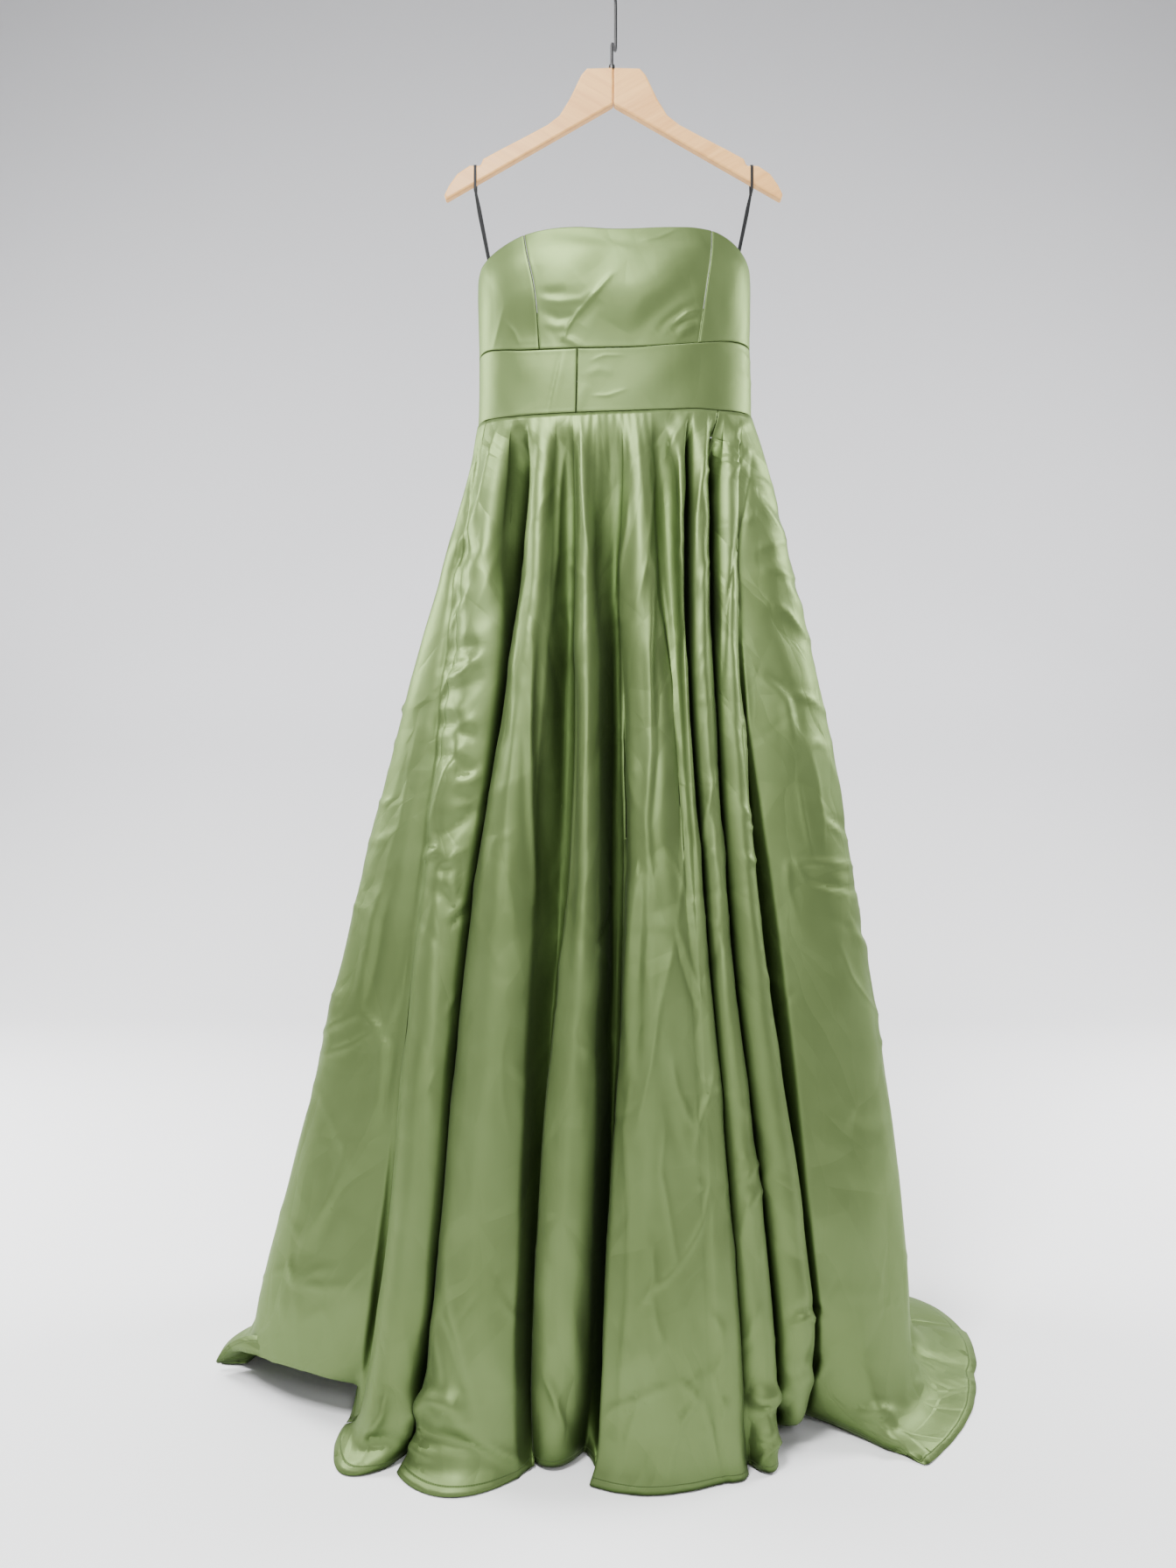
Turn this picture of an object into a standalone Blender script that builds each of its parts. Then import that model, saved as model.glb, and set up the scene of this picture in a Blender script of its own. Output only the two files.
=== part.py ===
"""Strapless ball gown with a pleated skirt, hung by two ribbon loops from a wooden hanger.

Metres, +Z up, the front faces -Y. Heights in the tables are above the floor that the hem lies on,
and the empty called floor_level carries every piece. The frame's origin is the seat inside the top
of the hook's bend, where a rod carries the hanger. A bearing goes round the gown in degrees from
the centre back: 90 is the left side seen from the front, 180 the centre front, 270 the right side.
"""

from collections import namedtuple

import bmesh
import bpy
import numpy as np
from mathutils import Matrix, Vector

# Driving sizes
HOOK_SEAT_HEIGHT = 1.772
WOOD_TOP_HEIGHT = 1.655
CLOTH = 0.0015
SEAM_GAP = 0.0003
HEM_HEIGHT = 0.002

# Bodice and band: half widths and depths of the ring at each height, from the centre line
Ring = namedtuple("Ring", "height left right front back")
TORSO_RINGS = (
    Ring(1.180, 0.173, 0.176, 0.085, 0.066),
    Ring(1.235, 0.171, 0.174, 0.085, 0.066),
    Ring(1.285, 0.171, 0.173, 0.086, 0.066),
    Ring(1.345, 0.172, 0.173, 0.096, 0.067),
    Ring(1.385, 0.171, 0.173, 0.095, 0.067),
    Ring(1.425, 0.167, 0.169, 0.086, 0.065),
)
TORSO_SQUARENESS = 2.25

# Height of each crosswise seam and of the neckline, by bearing
SEAM_BEARINGS = (0, 60, 90, 101, 113, 127, 141, 152, 166, 180, 200, 213, 224, 235, 247, 258, 270, 300)
NECKLINE = (1.370, 1.368, 1.3755, 1.387, 1.3935, 1.402, 1.411, 1.4145, 1.415, 1.4115, 1.416, 1.419,
            1.418, 1.412, 1.402, 1.392, 1.3866, 1.374)
BAND_TOP = (1.280, 1.275, 1.273, 1.280, 1.281, 1.277, 1.272, 1.270, 1.269, 1.269, 1.274, 1.279, 1.284,
            1.288, 1.290, 1.291, 1.293, 1.287)
WAIST = (1.197, 1.192, 1.190, 1.194, 1.195, 1.193, 1.192, 1.191, 1.191, 1.192, 1.196, 1.199, 1.200,
         1.202, 1.204, 1.205, 1.206, 1.201)

# Seams that run up the bodice and the band: bearing at the bottom, middle and top
PRINCESS_LEFT = (150.3, 148.0, 141.5)
PRINCESS_RIGHT = (213.6, 218.0, 222.0)
SIDE_LEFT = (90.0, 90.0, 90.0)
SIDE_RIGHT = (270.0, 270.0, 270.0)
BACK_START = (0.0, 0.0, 0.0)
BACK_END = (360.0, 360.0, 360.0)
BAND_SEAM = (166.6, 166.8, 167.0)

# Skirt: the ring that its panels touch at each station down the cloth
Station = namedtuple("Station", "name height left right front back squareness")
SKIRT_STATIONS = (
    Station("waist", 1.195, 0.1735, 0.1765, 0.086, 0.067, 2.25),
    Station("hip", 1.095, 0.197, 0.212, 0.107, 0.092, 2.12),
    Station("thigh", 0.850, 0.270, 0.273, 0.147, 0.155, 2.03),
    Station("knee", 0.600, 0.335, 0.319, 0.186, 0.212, 2.0),
    Station("calf", 0.380, 0.387, 0.354, 0.220, 0.262, 2.0),
    Station("ankle", 0.170, 0.442, 0.375, 0.255, 0.308, 2.0),
    Station("break", 0.036, 0.478, 0.398, 0.274, 0.340, 2.0),
    Station("hem", HEM_HEIGHT, 0.518, 0.486, 0.288, 0.385, 2.0),
)
WAIST_STATION, THIGH_STATION, CALF_STATION, ANKLE_STATION, HEM_STATION = 0.0, 2.0, 4.0, 5.0, 7.0
FOLD_STATIONS = (0.0, 1.0, 2.0, 3.0, 5.0, 7.0)
PLEAT_GROWTH = 0.55

# Folds of the front, left to right as seen: distance right of the centre line, width of the gap and
# its depth, each at waist, hip, thigh, knee, ankle and hem, and how far its bottom leans to the right
Fold = namedtuple("Fold", "name across width depth lean")
FRONT_FOLDS = (
    Fold("left_pocket", (-0.163, -0.181, -0.213, -0.244, -0.281, -0.352),
         (0.012, 0.012, 0.014, 0.016, 0.016, 0.016), (0.004, 0.006, 0.010, 0.016, 0.035, 0.070), 0.001),
    Fold("left_gap", (-0.117, -0.122, -0.140, -0.178, -0.213, -0.250),
         (0.022, 0.026, 0.014, 0.007, 0.010, 0.012), (0.024, 0.056, 0.064, 0.050, 0.070, 0.080), 0.008),
    Fold("left_hollow", (-0.061, -0.063, -0.068, -0.071, -0.076, -0.093),
         (0.020, 0.026, 0.036, 0.044, 0.040, 0.014), (0.018, 0.036, 0.055, 0.062, 0.060, 0.030), 0.006),
    Fold("centre_gap", (-0.010, -0.008, -0.008, -0.007, -0.023, -0.037),
         (0.032, 0.032, 0.024, 0.026, 0.016, 0.008), (0.018, 0.044, 0.056, 0.058, 0.075, 0.060), 0.010),
    Fold("panel_crease", (0.052, 0.060, 0.073, 0.084, 0.100, 0.118),
         (0.016, 0.022, 0.012, 0.010, 0.012, 0.012), (0.010, 0.022, 0.012, 0.003, 0.001, 0.001), 0.000),
    Fold("right_gap", (0.092, 0.0885, 0.0885, 0.102, 0.122, 0.157),
         (0.009, 0.009, 0.008, 0.006, 0.006, 0.006), (0.022, 0.048, 0.058, 0.034, 0.020, 0.030), -0.005),
    Fold("right_slit", (0.127, 0.122, 0.1215, 0.133, 0.178, 0.194),
         (0.018, 0.014, 0.008, 0.007, 0.009, 0.014), (0.022, 0.046, 0.062, 0.055, 0.060, 0.095), -0.006),
    Fold("right_hollow", (0.155, 0.155, 0.158, 0.184, 0.232, 0.257),
         (0.006, 0.006, 0.014, 0.028, 0.014, 0.026), (0.004, 0.006, 0.034, 0.062, 0.080, 0.130), -0.006),
)

# Folds of the back: bearing at waist and hem, gap width, depth from thigh to ankle and at the hem
BackFold = namedtuple("BackFold", "name bearing_waist bearing_hem width depth hem_depth")
BACK_FOLDS = (
    BackFold("back_1", 18.0, 14.0, 0.016, 0.042, 0.050),
    BackFold("back_2", 36.0, 31.0, 0.010, 0.058, 0.075),
    BackFold("back_3", 54.0, 48.0, 0.020, 0.046, 0.060),
    BackFold("back_4", 72.0, 68.0, 0.012, 0.050, 0.080),
    BackFold("left_side", 89.0, 92.0, 0.022, 0.018, 0.055),
    BackFold("right_side", 275.0, 262.0, 0.024, 0.020, 0.035),
    BackFold("back_5", 291.0, 284.0, 0.014, 0.046, 0.004),
    BackFold("back_6", 307.0, 303.0, 0.018, 0.052, 0.080),
    BackFold("back_7", 324.0, 322.0, 0.011, 0.060, 0.070),
    BackFold("back_8", 342.0, 344.0, 0.018, 0.042, 0.050),
)
BACK_DEPTH_STATIONS = (0.0, 2.0, 5.0, 7.0)
BACK_WAIST_SHARE = 0.35
BACK_ANKLE_SHARE = 1.15

# How folds and panels round off: a panel's edges roll in by a share of its width, up to a limit,
# the higher its flatness the later, and a fold's walls are the steeper the lower its softness
PANEL_ROLL = 0.16
PANEL_ROLL_MOST = 0.013
PANEL_FLATNESS = 2.5
FOLD_SOFTNESS = 0.6
FOLD_LEAST = 0.001
HEM_SHARE_POWER = 1.5

# Hem of each panel, by the fold at its left: how far it lies in from the ring and above the floor,
# each at the panel's left edge, middle and right edge
PanelHem = namedtuple("PanelHem", "inward lift")
PANEL_HEMS = {
    "left_side": PanelHem((0.000, 0.060, 0.105), (0.000, 0.034, 0.050)),
    "left_pocket": PanelHem((0.065, 0.000, 0.012), (0.000, 0.000, 0.000)),
    "left_gap": PanelHem((0.004, -0.010, 0.020), (0.000, 0.000, 0.000)),
    "left_hollow": PanelHem((0.050, 0.052, 0.070), (0.003, 0.004, 0.003)),
    "centre_gap": PanelHem((0.014, 0.010, 0.023), (0.000, 0.000, 0.000)),
    "panel_crease": PanelHem((0.023, 0.025, 0.028), (0.000, 0.000, 0.000)),
    "right_gap": PanelHem((0.040, 0.030, 0.036), (0.002, 0.002, 0.002)),
    "right_slit": PanelHem((0.105, 0.095, 0.105), (0.012, 0.018, 0.014)),
    "right_hollow": PanelHem((0.095, 0.009, 0.034), (0.000, 0.000, 0.000)),
    "right_side": PanelHem((0.032, 0.008, -0.006), (0.000, 0.000, 0.000)),
    "back_5": PanelHem((-0.008, -0.018, -0.018), (0.000, 0.000, 0.000)),
    "back_6": PanelHem((-0.018, -0.008, 0.000), (0.000, 0.000, 0.000)),
}
EVEN_HEM = PanelHem((0.0, 0.0, 0.0), (0.0, 0.0, 0.0))

# Side seams of the skirt, which hold the pockets: distance right of the centre at the fold stations
SKIRT_SEAM_LEFT = (-0.144, -0.156, -0.192, -0.221, -0.256, -0.302)
SKIRT_SEAM_RIGHT = (0.142, 0.139, 0.138, 0.154, 0.204, 0.224)

# Mesh density: rows down the cloth, columns across
SKIRT_ROWS = (0.0, 0.3, 0.65, 1.0, 1.45, 1.95, 2.5, 3.0, 3.5, 4.0, 4.5, 5.0, 5.5, 5.95, 6.35, 6.7, 7.0)
FOLD_STEPS = (0.0, 0.2, 0.5, 0.8)
PANEL_STEP_WIDTH = 0.040
PANEL_LEAST_STEPS = 2
LENGTH_STEPS = 9
CUT_MARGIN = 0.4
TORSO_STEP = 8.0
BAND_ROWS = (0.0, 0.5, 1.0)
BODICE_ROWS = (0.0, 0.25, 0.5, 0.75, 1.0)

# Hanger: outline of one arm, distance out from the middle and down from the top of the wood
HANGER_THICKNESS = 0.012
HANGER_EDGE_ROUND = 0.0025
NOTCH_DROP = 0.1245
HANGER_OUTLINE = (
    (0.0002, 0.0), (0.034, 0.001), (0.041, 0.009), (0.056, 0.040), (0.069, 0.061), (0.083, 0.072),
    (0.111, 0.087), (0.144, 0.104), (0.166, 0.116), (0.1695, NOTCH_DROP), (0.1835, NOTCH_DROP),
    (0.199, 0.135), (0.209, 0.149), (0.2155, 0.162), (0.2135, 0.169), (0.0002, 0.047),
)
STEM_X = -0.002
STEM_DEPTH = 0.030
WIRE_RADIUS = 0.002
WIRE_CLEARANCE = 0.0003
HOOK_RADIUS = 0.024
HOOK_TURN = np.radians(77.0)
NECK_HEIGHT = 0.036
NECK_ROUND = 0.007
COLLAR_PROFILE = ((0.0037, 0.0055), (0.0040, 0.0035), (0.0040, 0.0003))

# Hanging loops: a ribbon over the notch in each arm, sewn inside the back beside the side seam
LOOP_WIDTH = 0.0035
LOOP_THICKNESS = 0.0008
LOOP_NOTCH = 0.1760
LOOP_END = (0.147, 1.352)
LOOP_SEWN = 0.016
LOOP_OFFSET = 0.0012
LOOP_SLACK = 0.0006
LOOP_CLEAR_DROP = 0.156

# Zip at the centre back
TAPE_WIDTH = 0.018
TAPE_THICKNESS = 0.0007
TAPE_GAP = 0.0004
ZIP_END_STATION = 1.75
SLIDER_SIZE = (0.0052, 0.0030, 0.0088)
SLIDER_BELOW_NECK = 0.010
SLIDER_EDGE_ROUND = 0.0006
EAR_THICKNESS = 0.0008
EAR_INSET = 0.0002
EAR_REACH = 0.0031
EAR_ROOT = 0.0008
EAR_HEIGHT = 0.0022
PIN_RADIUS = 0.0005
TAB_HOLE_RADIUS = 0.0009
TAB_SIZE = (0.0026, 0.0009, 0.0240)
TAB_HEAD_RADIUS = 0.0017
TAB_END_WIDTH = 0.0048

Finish = namedtuple("Finish", "colour roughness metallic")
SATIN = Finish((0.25, 0.33, 0.19), 0.38, 0.0)
RIBBON = Finish((0.012, 0.012, 0.012), 0.35, 0.0)
WOOD = Finish((0.72, 0.52, 0.33), 0.45, 0.0)
BLACK_WIRE = Finish((0.02, 0.02, 0.02), 0.4, 0.8)
TAPE = Finish((0.20, 0.27, 0.15), 0.8, 0.0)
ENAMEL = Finish((0.22, 0.30, 0.17), 0.35, 0.4)


def smooth(knots, values, at):
    """Cubic through the values at the knots, read at one or more places."""
    knots = np.asarray(knots, float)
    values = np.asarray(values, float)
    at = np.clip(np.asarray(at, float), knots[0], knots[-1])
    slopes = np.gradient(values, knots)
    i = np.clip(np.searchsorted(knots, at, side="right") - 1, 0, len(knots) - 2)
    span = knots[i + 1] - knots[i]
    t = (at - knots[i]) / span
    rise = values[i] * (1 + 2 * t) * (1 - t) ** 2 + values[i + 1] * t * t * (3 - 2 * t)
    return rise + span * (slopes[i] * t * (1 - t) ** 2 + slopes[i + 1] * t * t * (t - 1))


def round_the_body(bearings, values, at):
    """Cubic through values given once round the body, from the centre back to itself."""
    knots = list(bearings) + [bearings[0] + 360.0]
    return smooth(knots, list(values) + [values[0]], np.mod(at, 360.0))


def ring_point(bearing, left, right, front, back, squareness):
    """Point of a ring at a bearing, and its outward normal, for arrays of any one shape."""
    angle = np.radians(bearing)
    side, ahead = np.sin(angle), np.cos(angle)
    half_width = np.where(side > 0, left, right)
    half_depth = np.where(ahead > 0, back, front)
    power = 2.0 / squareness
    x = -np.sign(side) * half_width * np.abs(side) ** power
    y = np.sign(ahead) * half_depth * np.abs(ahead) ** power
    nx = np.sign(x) * (np.abs(x) / half_width) ** (squareness - 1) / half_width
    ny = np.sign(y) * (np.abs(y) / half_depth) ** (squareness - 1) / half_depth
    length = np.hypot(nx, ny)
    return x, y, nx / length, ny / length


def torso_point(bearing, height):
    """Outer face of the bodice and band at a bearing and a height."""
    heights = [ring.height for ring in TORSO_RINGS]
    sizes = [smooth(heights, [getattr(ring, side) for ring in TORSO_RINGS], height)
             for side in ("left", "right", "front", "back")]
    x, y, _, _ = ring_point(bearing, *sizes, TORSO_SQUARENESS)
    return np.stack([x, y, height + 0.0 * x], axis=-1)


def grid_normals(grid):
    """Outward unit normals of a grid whose rows go up and whose columns go round by the bearing."""
    across = np.gradient(grid, axis=1)
    up = np.gradient(grid, axis=0)
    normals = np.cross(across, up)
    return normals / np.linalg.norm(normals, axis=-1, keepdims=True)


def closed_normals(grid):
    """The same for a grid whose first and last columns are the same line."""
    padded = np.concatenate([grid[:, -2:-1], grid, grid[:, 1:2]], axis=1)
    return grid_normals(padded)[:, 1:-1]


def station_ring(station):
    """Height and ring sizes of the skirt at a place between stations."""
    places = np.arange(len(SKIRT_STATIONS))
    return [smooth(places, [getattr(row, field) for row in SKIRT_STATIONS], station)
            for field in ("height", "left", "right", "front", "back", "squareness")]


def bearing_across(across, station):
    """Bearing on the skirt's front ring of a point that far right of the centre line."""
    _, left, right, _, _, squareness = station_ring(station)
    share = np.clip(across / np.where(across < 0, left, right), -0.999, 0.999)
    return 180.0 + np.degrees(np.sign(share) * np.arcsin(np.abs(share) ** (0.5 * squareness)))


def degree_length(bearing, ring):
    """Length along a ring of the degree that is centred on a bearing."""
    ends = [ring_point(bearing + half, *ring) for half in (-0.5, 0.5)]
    return float(np.hypot(ends[1][0] - ends[0][0], ends[1][1] - ends[0][1]))


def folds_at(station):
    """Bearing, width, depth and lean of every fold round the skirt at one place down the cloth."""
    rows = []
    for fold in FRONT_FOLDS:
        across = smooth(FOLD_STATIONS, fold.across, station)
        width = smooth(FOLD_STATIONS, fold.width, station)
        depth = smooth(FOLD_STATIONS, fold.depth, station)
        rows.append((fold.name, bearing_across(across, station), width, depth, fold.lean))
    for fold in BACK_FOLDS:
        bearing = smooth((WAIST_STATION, HEM_STATION), (fold.bearing_waist, fold.bearing_hem), station)
        depths = (BACK_WAIST_SHARE * fold.depth, fold.depth, BACK_ANKLE_SHARE * fold.depth, fold.hem_depth)
        rows.append((fold.name, bearing, fold.width, smooth(BACK_DEPTH_STATIONS, depths, station), 0.0))
    return sorted(rows, key=lambda row: row[1])


def panel_columns():
    """How many columns each panel has, from its width at the calf."""
    folds = folds_at(CALF_STATION)
    ring = station_ring(CALF_STATION)[1:]
    counts = []
    for here, after in zip(folds, folds[1:] + folds[:1]):
        span = np.mod(after[1] - here[1], 360.0)
        bearings = here[1] + span * np.linspace(0.0, 1.0, LENGTH_STEPS)
        x, y, _, _ = ring_point(bearings, *ring)
        width = np.sum(np.hypot(np.diff(x), np.diff(y)))
        counts.append(max(PANEL_LEAST_STEPS, int(round(width / PANEL_STEP_WIDTH))))
    return counts


def panel_shape(name, share, roll, hem_share):
    """How far a panel lies in from the ring, and its lift, at a share of the way across it."""
    hem = PANEL_HEMS.get(name, EVEN_HEM)
    weights = ((1 - share) * (1 - 2 * share), 4 * share * (1 - share), share * (2 * share - 1))
    inward = hem_share * sum(weight * value for weight, value in zip(weights, hem.inward))
    lift = hem_share * sum(weight * value for weight, value in zip(weights, hem.lift))
    return roll * abs(2.0 * share - 1.0) ** PANEL_FLATNESS + inward, lift


def skirt_row(station, counts):
    """One row of the skirt's outer face, once round, and the bearing that each point is cut by."""
    height, *ring = station_ring(station)
    growth = np.clip(station / PLEAT_GROWTH, 0.0, 1.0)
    growth = growth * growth * (3.0 - 2.0 * growth)
    hem_share = np.clip((station - ANKLE_STATION) / (HEM_STATION - ANKLE_STATION), 0.0, 1.0)
    hem_share = hem_share ** HEM_SHARE_POWER
    folds = folds_at(station)
    degrees = [degree_length(fold[1], ring) for fold in folds]
    spans = [np.mod(after[1] - here[1], 360.0) for here, after in zip(folds, folds[1:] + folds[:1])]
    rolls = [growth * min(PANEL_ROLL * span * degree, PANEL_ROLL_MOST)
             for span, degree in zip(spans, degrees)]
    marks, bearings, insets, lifts = [], [], [], []
    for index, (name, bearing, width, depth, lean) in enumerate(folds):
        half = 0.5 * width / degrees[index]
        following = (index + 1) % len(folds)
        half_after = 0.5 * folds[following][2] / degrees[following]
        before_in, before_lift = panel_shape(folds[index - 1][0], 1.0, rolls[index - 1], hem_share)
        after_in, after_lift = panel_shape(name, 0.0, rolls[index], hem_share)
        for step in FOLD_STEPS:
            bulge = growth * (np.sin(np.pi * step) ** FOLD_SOFTNESS if step else 0.0)
            level = before_in + (after_in - before_in) * step
            marks.append(bearing + (2.0 * step - 1.0) * half)
            bearings.append(marks[-1] + bulge * lean / degrees[index])
            insets.append(level + max(depth - level, FOLD_LEAST) * bulge)
            lifts.append(before_lift + (after_lift - before_lift) * step)
        for step in range(counts[index]):
            share = step / counts[index]
            inset, lift = panel_shape(name, share, rolls[index], hem_share)
            marks.append(bearing + half + share * (spans[index] - half - half_after))
            bearings.append(marks[-1])
            insets.append(inset)
            lifts.append(lift)
    marks, bearings, insets, lifts = (np.asarray(values) for values in (marks, bearings, insets, lifts))
    x, y, nx, ny = ring_point(bearings, *ring)
    waist = round_the_body(SEAM_BEARINGS, WAIST, bearings) - 1.5 * SEAM_GAP
    settle = np.clip(1.0 - station / THIGH_STATION, 0.0, 1.0)
    z = height + lifts + (waist - SKIRT_STATIONS[0].height) * settle
    return np.stack([x - nx * insets, y - ny * insets, z], axis=-1), marks


def skirt_grid():
    """Outer face of the whole skirt, hem row first, with each point's bearing, first column at the back."""
    counts = panel_columns()
    rows, bearings = zip(*(skirt_row(station, counts) for station in reversed(SKIRT_ROWS)))
    grid = np.asarray(rows)
    bearings = np.asarray(bearings)
    grid = np.concatenate([grid, grid[:, :1]], axis=1)
    bearings = np.concatenate([bearings, bearings[:, :1] + 360.0], axis=1)
    return grid, bearings


def cut_columns(grid, normals, bearings, start, end):
    """The part of a grid between two lines, each given as a bearing for every row."""
    rows, row_normals = [], []
    inside = [column for column in range(grid.shape[1])
              if np.all(bearings[:, column] > start + CUT_MARGIN)
              and np.all(bearings[:, column] < end - CUT_MARGIN)]
    for row in range(grid.shape[0]):
        places = np.concatenate([[start[row]], bearings[row, inside], [end[row]]])
        rows.append([[np.interp(place, bearings[row], grid[row, :, axis]) for axis in range(3)]
                     for place in places])
        row_normals.append([[np.interp(place, bearings[row], normals[row, :, axis]) for axis in range(3)]
                            for place in places])
    return np.asarray(rows), np.asarray(row_normals)


def part_seam(grid, normals):
    """Draws a panel's two upright edges in by half the seam's gap."""
    grid = grid.copy()
    for edge, inner in ((0, 1), (-1, -2)):
        along = grid[:, inner] - grid[:, edge]
        along -= normals[:, edge] * np.sum(along * normals[:, edge], axis=-1, keepdims=True)
        along /= np.linalg.norm(along, axis=-1, keepdims=True)
        grid[:, edge] += along * 0.5 * SEAM_GAP
    return grid


def wall(name, grid, normals, finish, thickness=CLOTH, proud=0.0):
    """Closed wall whose outer face is the grid, moved out by proud, and whose inner face lies inside it."""
    normals = normals / np.linalg.norm(normals, axis=-1, keepdims=True)
    rows, columns = grid.shape[:2]
    mesh = bmesh.new()
    outer, inner = [], []
    for row in range(rows):
        outer.append([mesh.verts.new(Vector(point)) for point in grid[row] + normals[row] * proud])
        inner.append([mesh.verts.new(Vector(point))
                      for point in grid[row] + normals[row] * (proud - thickness)])
    for row in range(rows - 1):
        for column in range(columns - 1):
            near, far = slice(column, column + 2), row + 1
            a, b = outer[row][near]
            d, c = outer[far][near]
            mesh.faces.new((a, d, c, b))
            a, b = inner[row][near]
            d, c = inner[far][near]
            mesh.faces.new((a, b, c, d))
    border = [(0, column) for column in range(columns)]
    border += [(row, columns - 1) for row in range(1, rows)]
    border += [(rows - 1, column) for column in range(columns - 2, -1, -1)]
    border += [(row, 0) for row in range(rows - 2, 0, -1)]
    for (row, column), (next_row, next_column) in zip(border, border[1:] + border[:1]):
        mesh.faces.new((outer[row][column], outer[next_row][next_column],
                        inner[next_row][next_column], inner[row][column]))
    bmesh.ops.recalc_face_normals(mesh, faces=mesh.faces)
    data = bpy.data.meshes.new(name)
    mesh.to_mesh(data)
    mesh.free()
    return place(bpy.data.objects.new(name, data), finish)


def place(piece, finish):
    """Puts a piece in the gown's collection on the floor's empty, with its material."""
    GOWN.objects.link(piece)
    piece.parent = FLOOR_LEVEL
    material = bpy.data.materials.new(piece.name)
    material.use_nodes = True
    shader = material.node_tree.nodes["Principled BSDF"]
    shader.inputs["Base Color"].default_value = (*finish.colour, 1.0)
    shader.inputs["Roughness"].default_value = finish.roughness
    shader.inputs["Metallic"].default_value = finish.metallic
    piece.data.materials.append(material)
    return piece


def torso_panel(name, low, high, rows, left, right, low_gap, high_gap):
    """A panel of the bodice or band, between two crosswise seams and two upright ones."""
    count = max(2, int(round((right[0] - left[0]) / TORSO_STEP)))
    points, normals = [], []
    for row in rows:
        start, end = (smooth((0.0, 0.5, 1.0), seam, row) for seam in (left, right))
        bearings = np.linspace(start, end, count + 1)
        bottom = round_the_body(SEAM_BEARINGS, low, bearings) + low_gap
        top = round_the_body(SEAM_BEARINGS, high, bearings) - high_gap
        heights = bottom + (top - bottom) * row
        points.append(torso_point(bearings, heights))
        step = 0.5
        across = torso_point(bearings + step, heights) - torso_point(bearings - step, heights)
        up = torso_point(bearings, heights + 0.002) - torso_point(bearings, heights - 0.002)
        cross = np.cross(across, up)
        normals.append(cross / np.linalg.norm(cross, axis=-1, keepdims=True))
    points, normals = np.asarray(points), np.asarray(normals)
    return wall(name, part_seam(points, normals), normals, SATIN)


def build_torso():
    """Five bodice panels and four band panels."""
    bodice = (
        ("bodice_back_left", BACK_START, SIDE_LEFT),
        ("bodice_side_left", SIDE_LEFT, PRINCESS_LEFT),
        ("bodice_front", PRINCESS_LEFT, PRINCESS_RIGHT),
        ("bodice_side_right", PRINCESS_RIGHT, SIDE_RIGHT),
        ("bodice_back_right", SIDE_RIGHT, BACK_END),
    )
    for name, left, right in bodice:
        torso_panel(name, BAND_TOP, NECKLINE, BODICE_ROWS, left, right, 0.5 * SEAM_GAP, 0.0)
    band = (
        ("midriff_back_left", BACK_START, SIDE_LEFT),
        ("midriff_front_left", SIDE_LEFT, BAND_SEAM),
        ("midriff_front_right", BAND_SEAM, SIDE_RIGHT),
        ("midriff_back_right", SIDE_RIGHT, BACK_END),
    )
    for name, left, right in band:
        torso_panel(name, WAIST, BAND_TOP, BAND_ROWS, left, right, 0.5 * SEAM_GAP, 0.5 * SEAM_GAP)


def build_skirt():
    """The skirt's front and its two backs, cut from one folded surface at the side seams."""
    grid, bearings = skirt_grid()
    normals = closed_normals(grid)
    normals[-1, :, 2] = 0.0
    stations = np.asarray(SKIRT_ROWS[::-1])
    left = bearing_across(smooth(FOLD_STATIONS, SKIRT_SEAM_LEFT, stations), stations)
    right = bearing_across(smooth(FOLD_STATIONS, SKIRT_SEAM_RIGHT, stations), stations)
    start, end = np.zeros(len(stations)), np.full(len(stations), 360.0)
    wrapped = np.concatenate([bearings[:, :-1] - 360.0, bearings], axis=1)
    points = np.concatenate([grid[:, :-1], grid], axis=1)
    outward = np.concatenate([normals[:, :-1], normals], axis=1)
    for name, low, high in (("skirt_back_left", start, left), ("skirt_front", left, right),
                            ("skirt_back_right", right, end)):
        panel, panel_normals = cut_columns(points, outward, wrapped, low, high)
        wall(name, part_seam(panel, panel_normals), panel_normals, SATIN)


def mesh_from(piece, name, finish):
    """A closed mesh made from a curve, whose loose caps are welded."""
    evaluated = piece.evaluated_get(bpy.context.evaluated_depsgraph_get())
    data = bpy.data.meshes.new_from_object(evaluated)
    mesh = bmesh.new()
    mesh.from_mesh(data)
    bmesh.ops.remove_doubles(mesh, verts=mesh.verts, dist=1e-6)
    mesh.to_mesh(data)
    mesh.free()
    matrix = piece.matrix_world.copy()
    bpy.data.objects.remove(piece)
    solid = bpy.data.objects.new(name, data)
    solid.matrix_world = matrix
    data.materials.clear()
    return place(solid, finish)


def outline_curve(name, outline, half_thickness):
    """Flat outline in the XY plane, thickened both ways."""
    curve = bpy.data.curves.new(name, "CURVE")
    curve.dimensions = "2D"
    curve.fill_mode = "BOTH"
    curve.extrude = half_thickness
    spline = curve.splines.new("POLY")
    spline.points.add(len(outline) - 1)
    for point, (x, y) in zip(spline.points, outline):
        point.co = (x, y, 0.0, 1.0)
    spline.use_cyclic_u = True
    piece = bpy.data.objects.new(name, curve)
    bpy.context.scene.collection.objects.link(piece)
    return piece


def wire_curve(name, points, radius, resolution):
    """Round wire through the points, with closed ends."""
    curve = bpy.data.curves.new(name, "CURVE")
    curve.dimensions = "3D"
    curve.bevel_depth = radius
    curve.bevel_resolution = resolution
    curve.use_fill_caps = True
    spline = curve.splines.new("POLY")
    spline.points.add(len(points) - 1)
    for point, place_at in zip(spline.points, points):
        point.co = (*place_at, 1.0)
    piece = bpy.data.objects.new(name, curve)
    bpy.context.scene.collection.objects.link(piece)
    return piece


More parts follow.
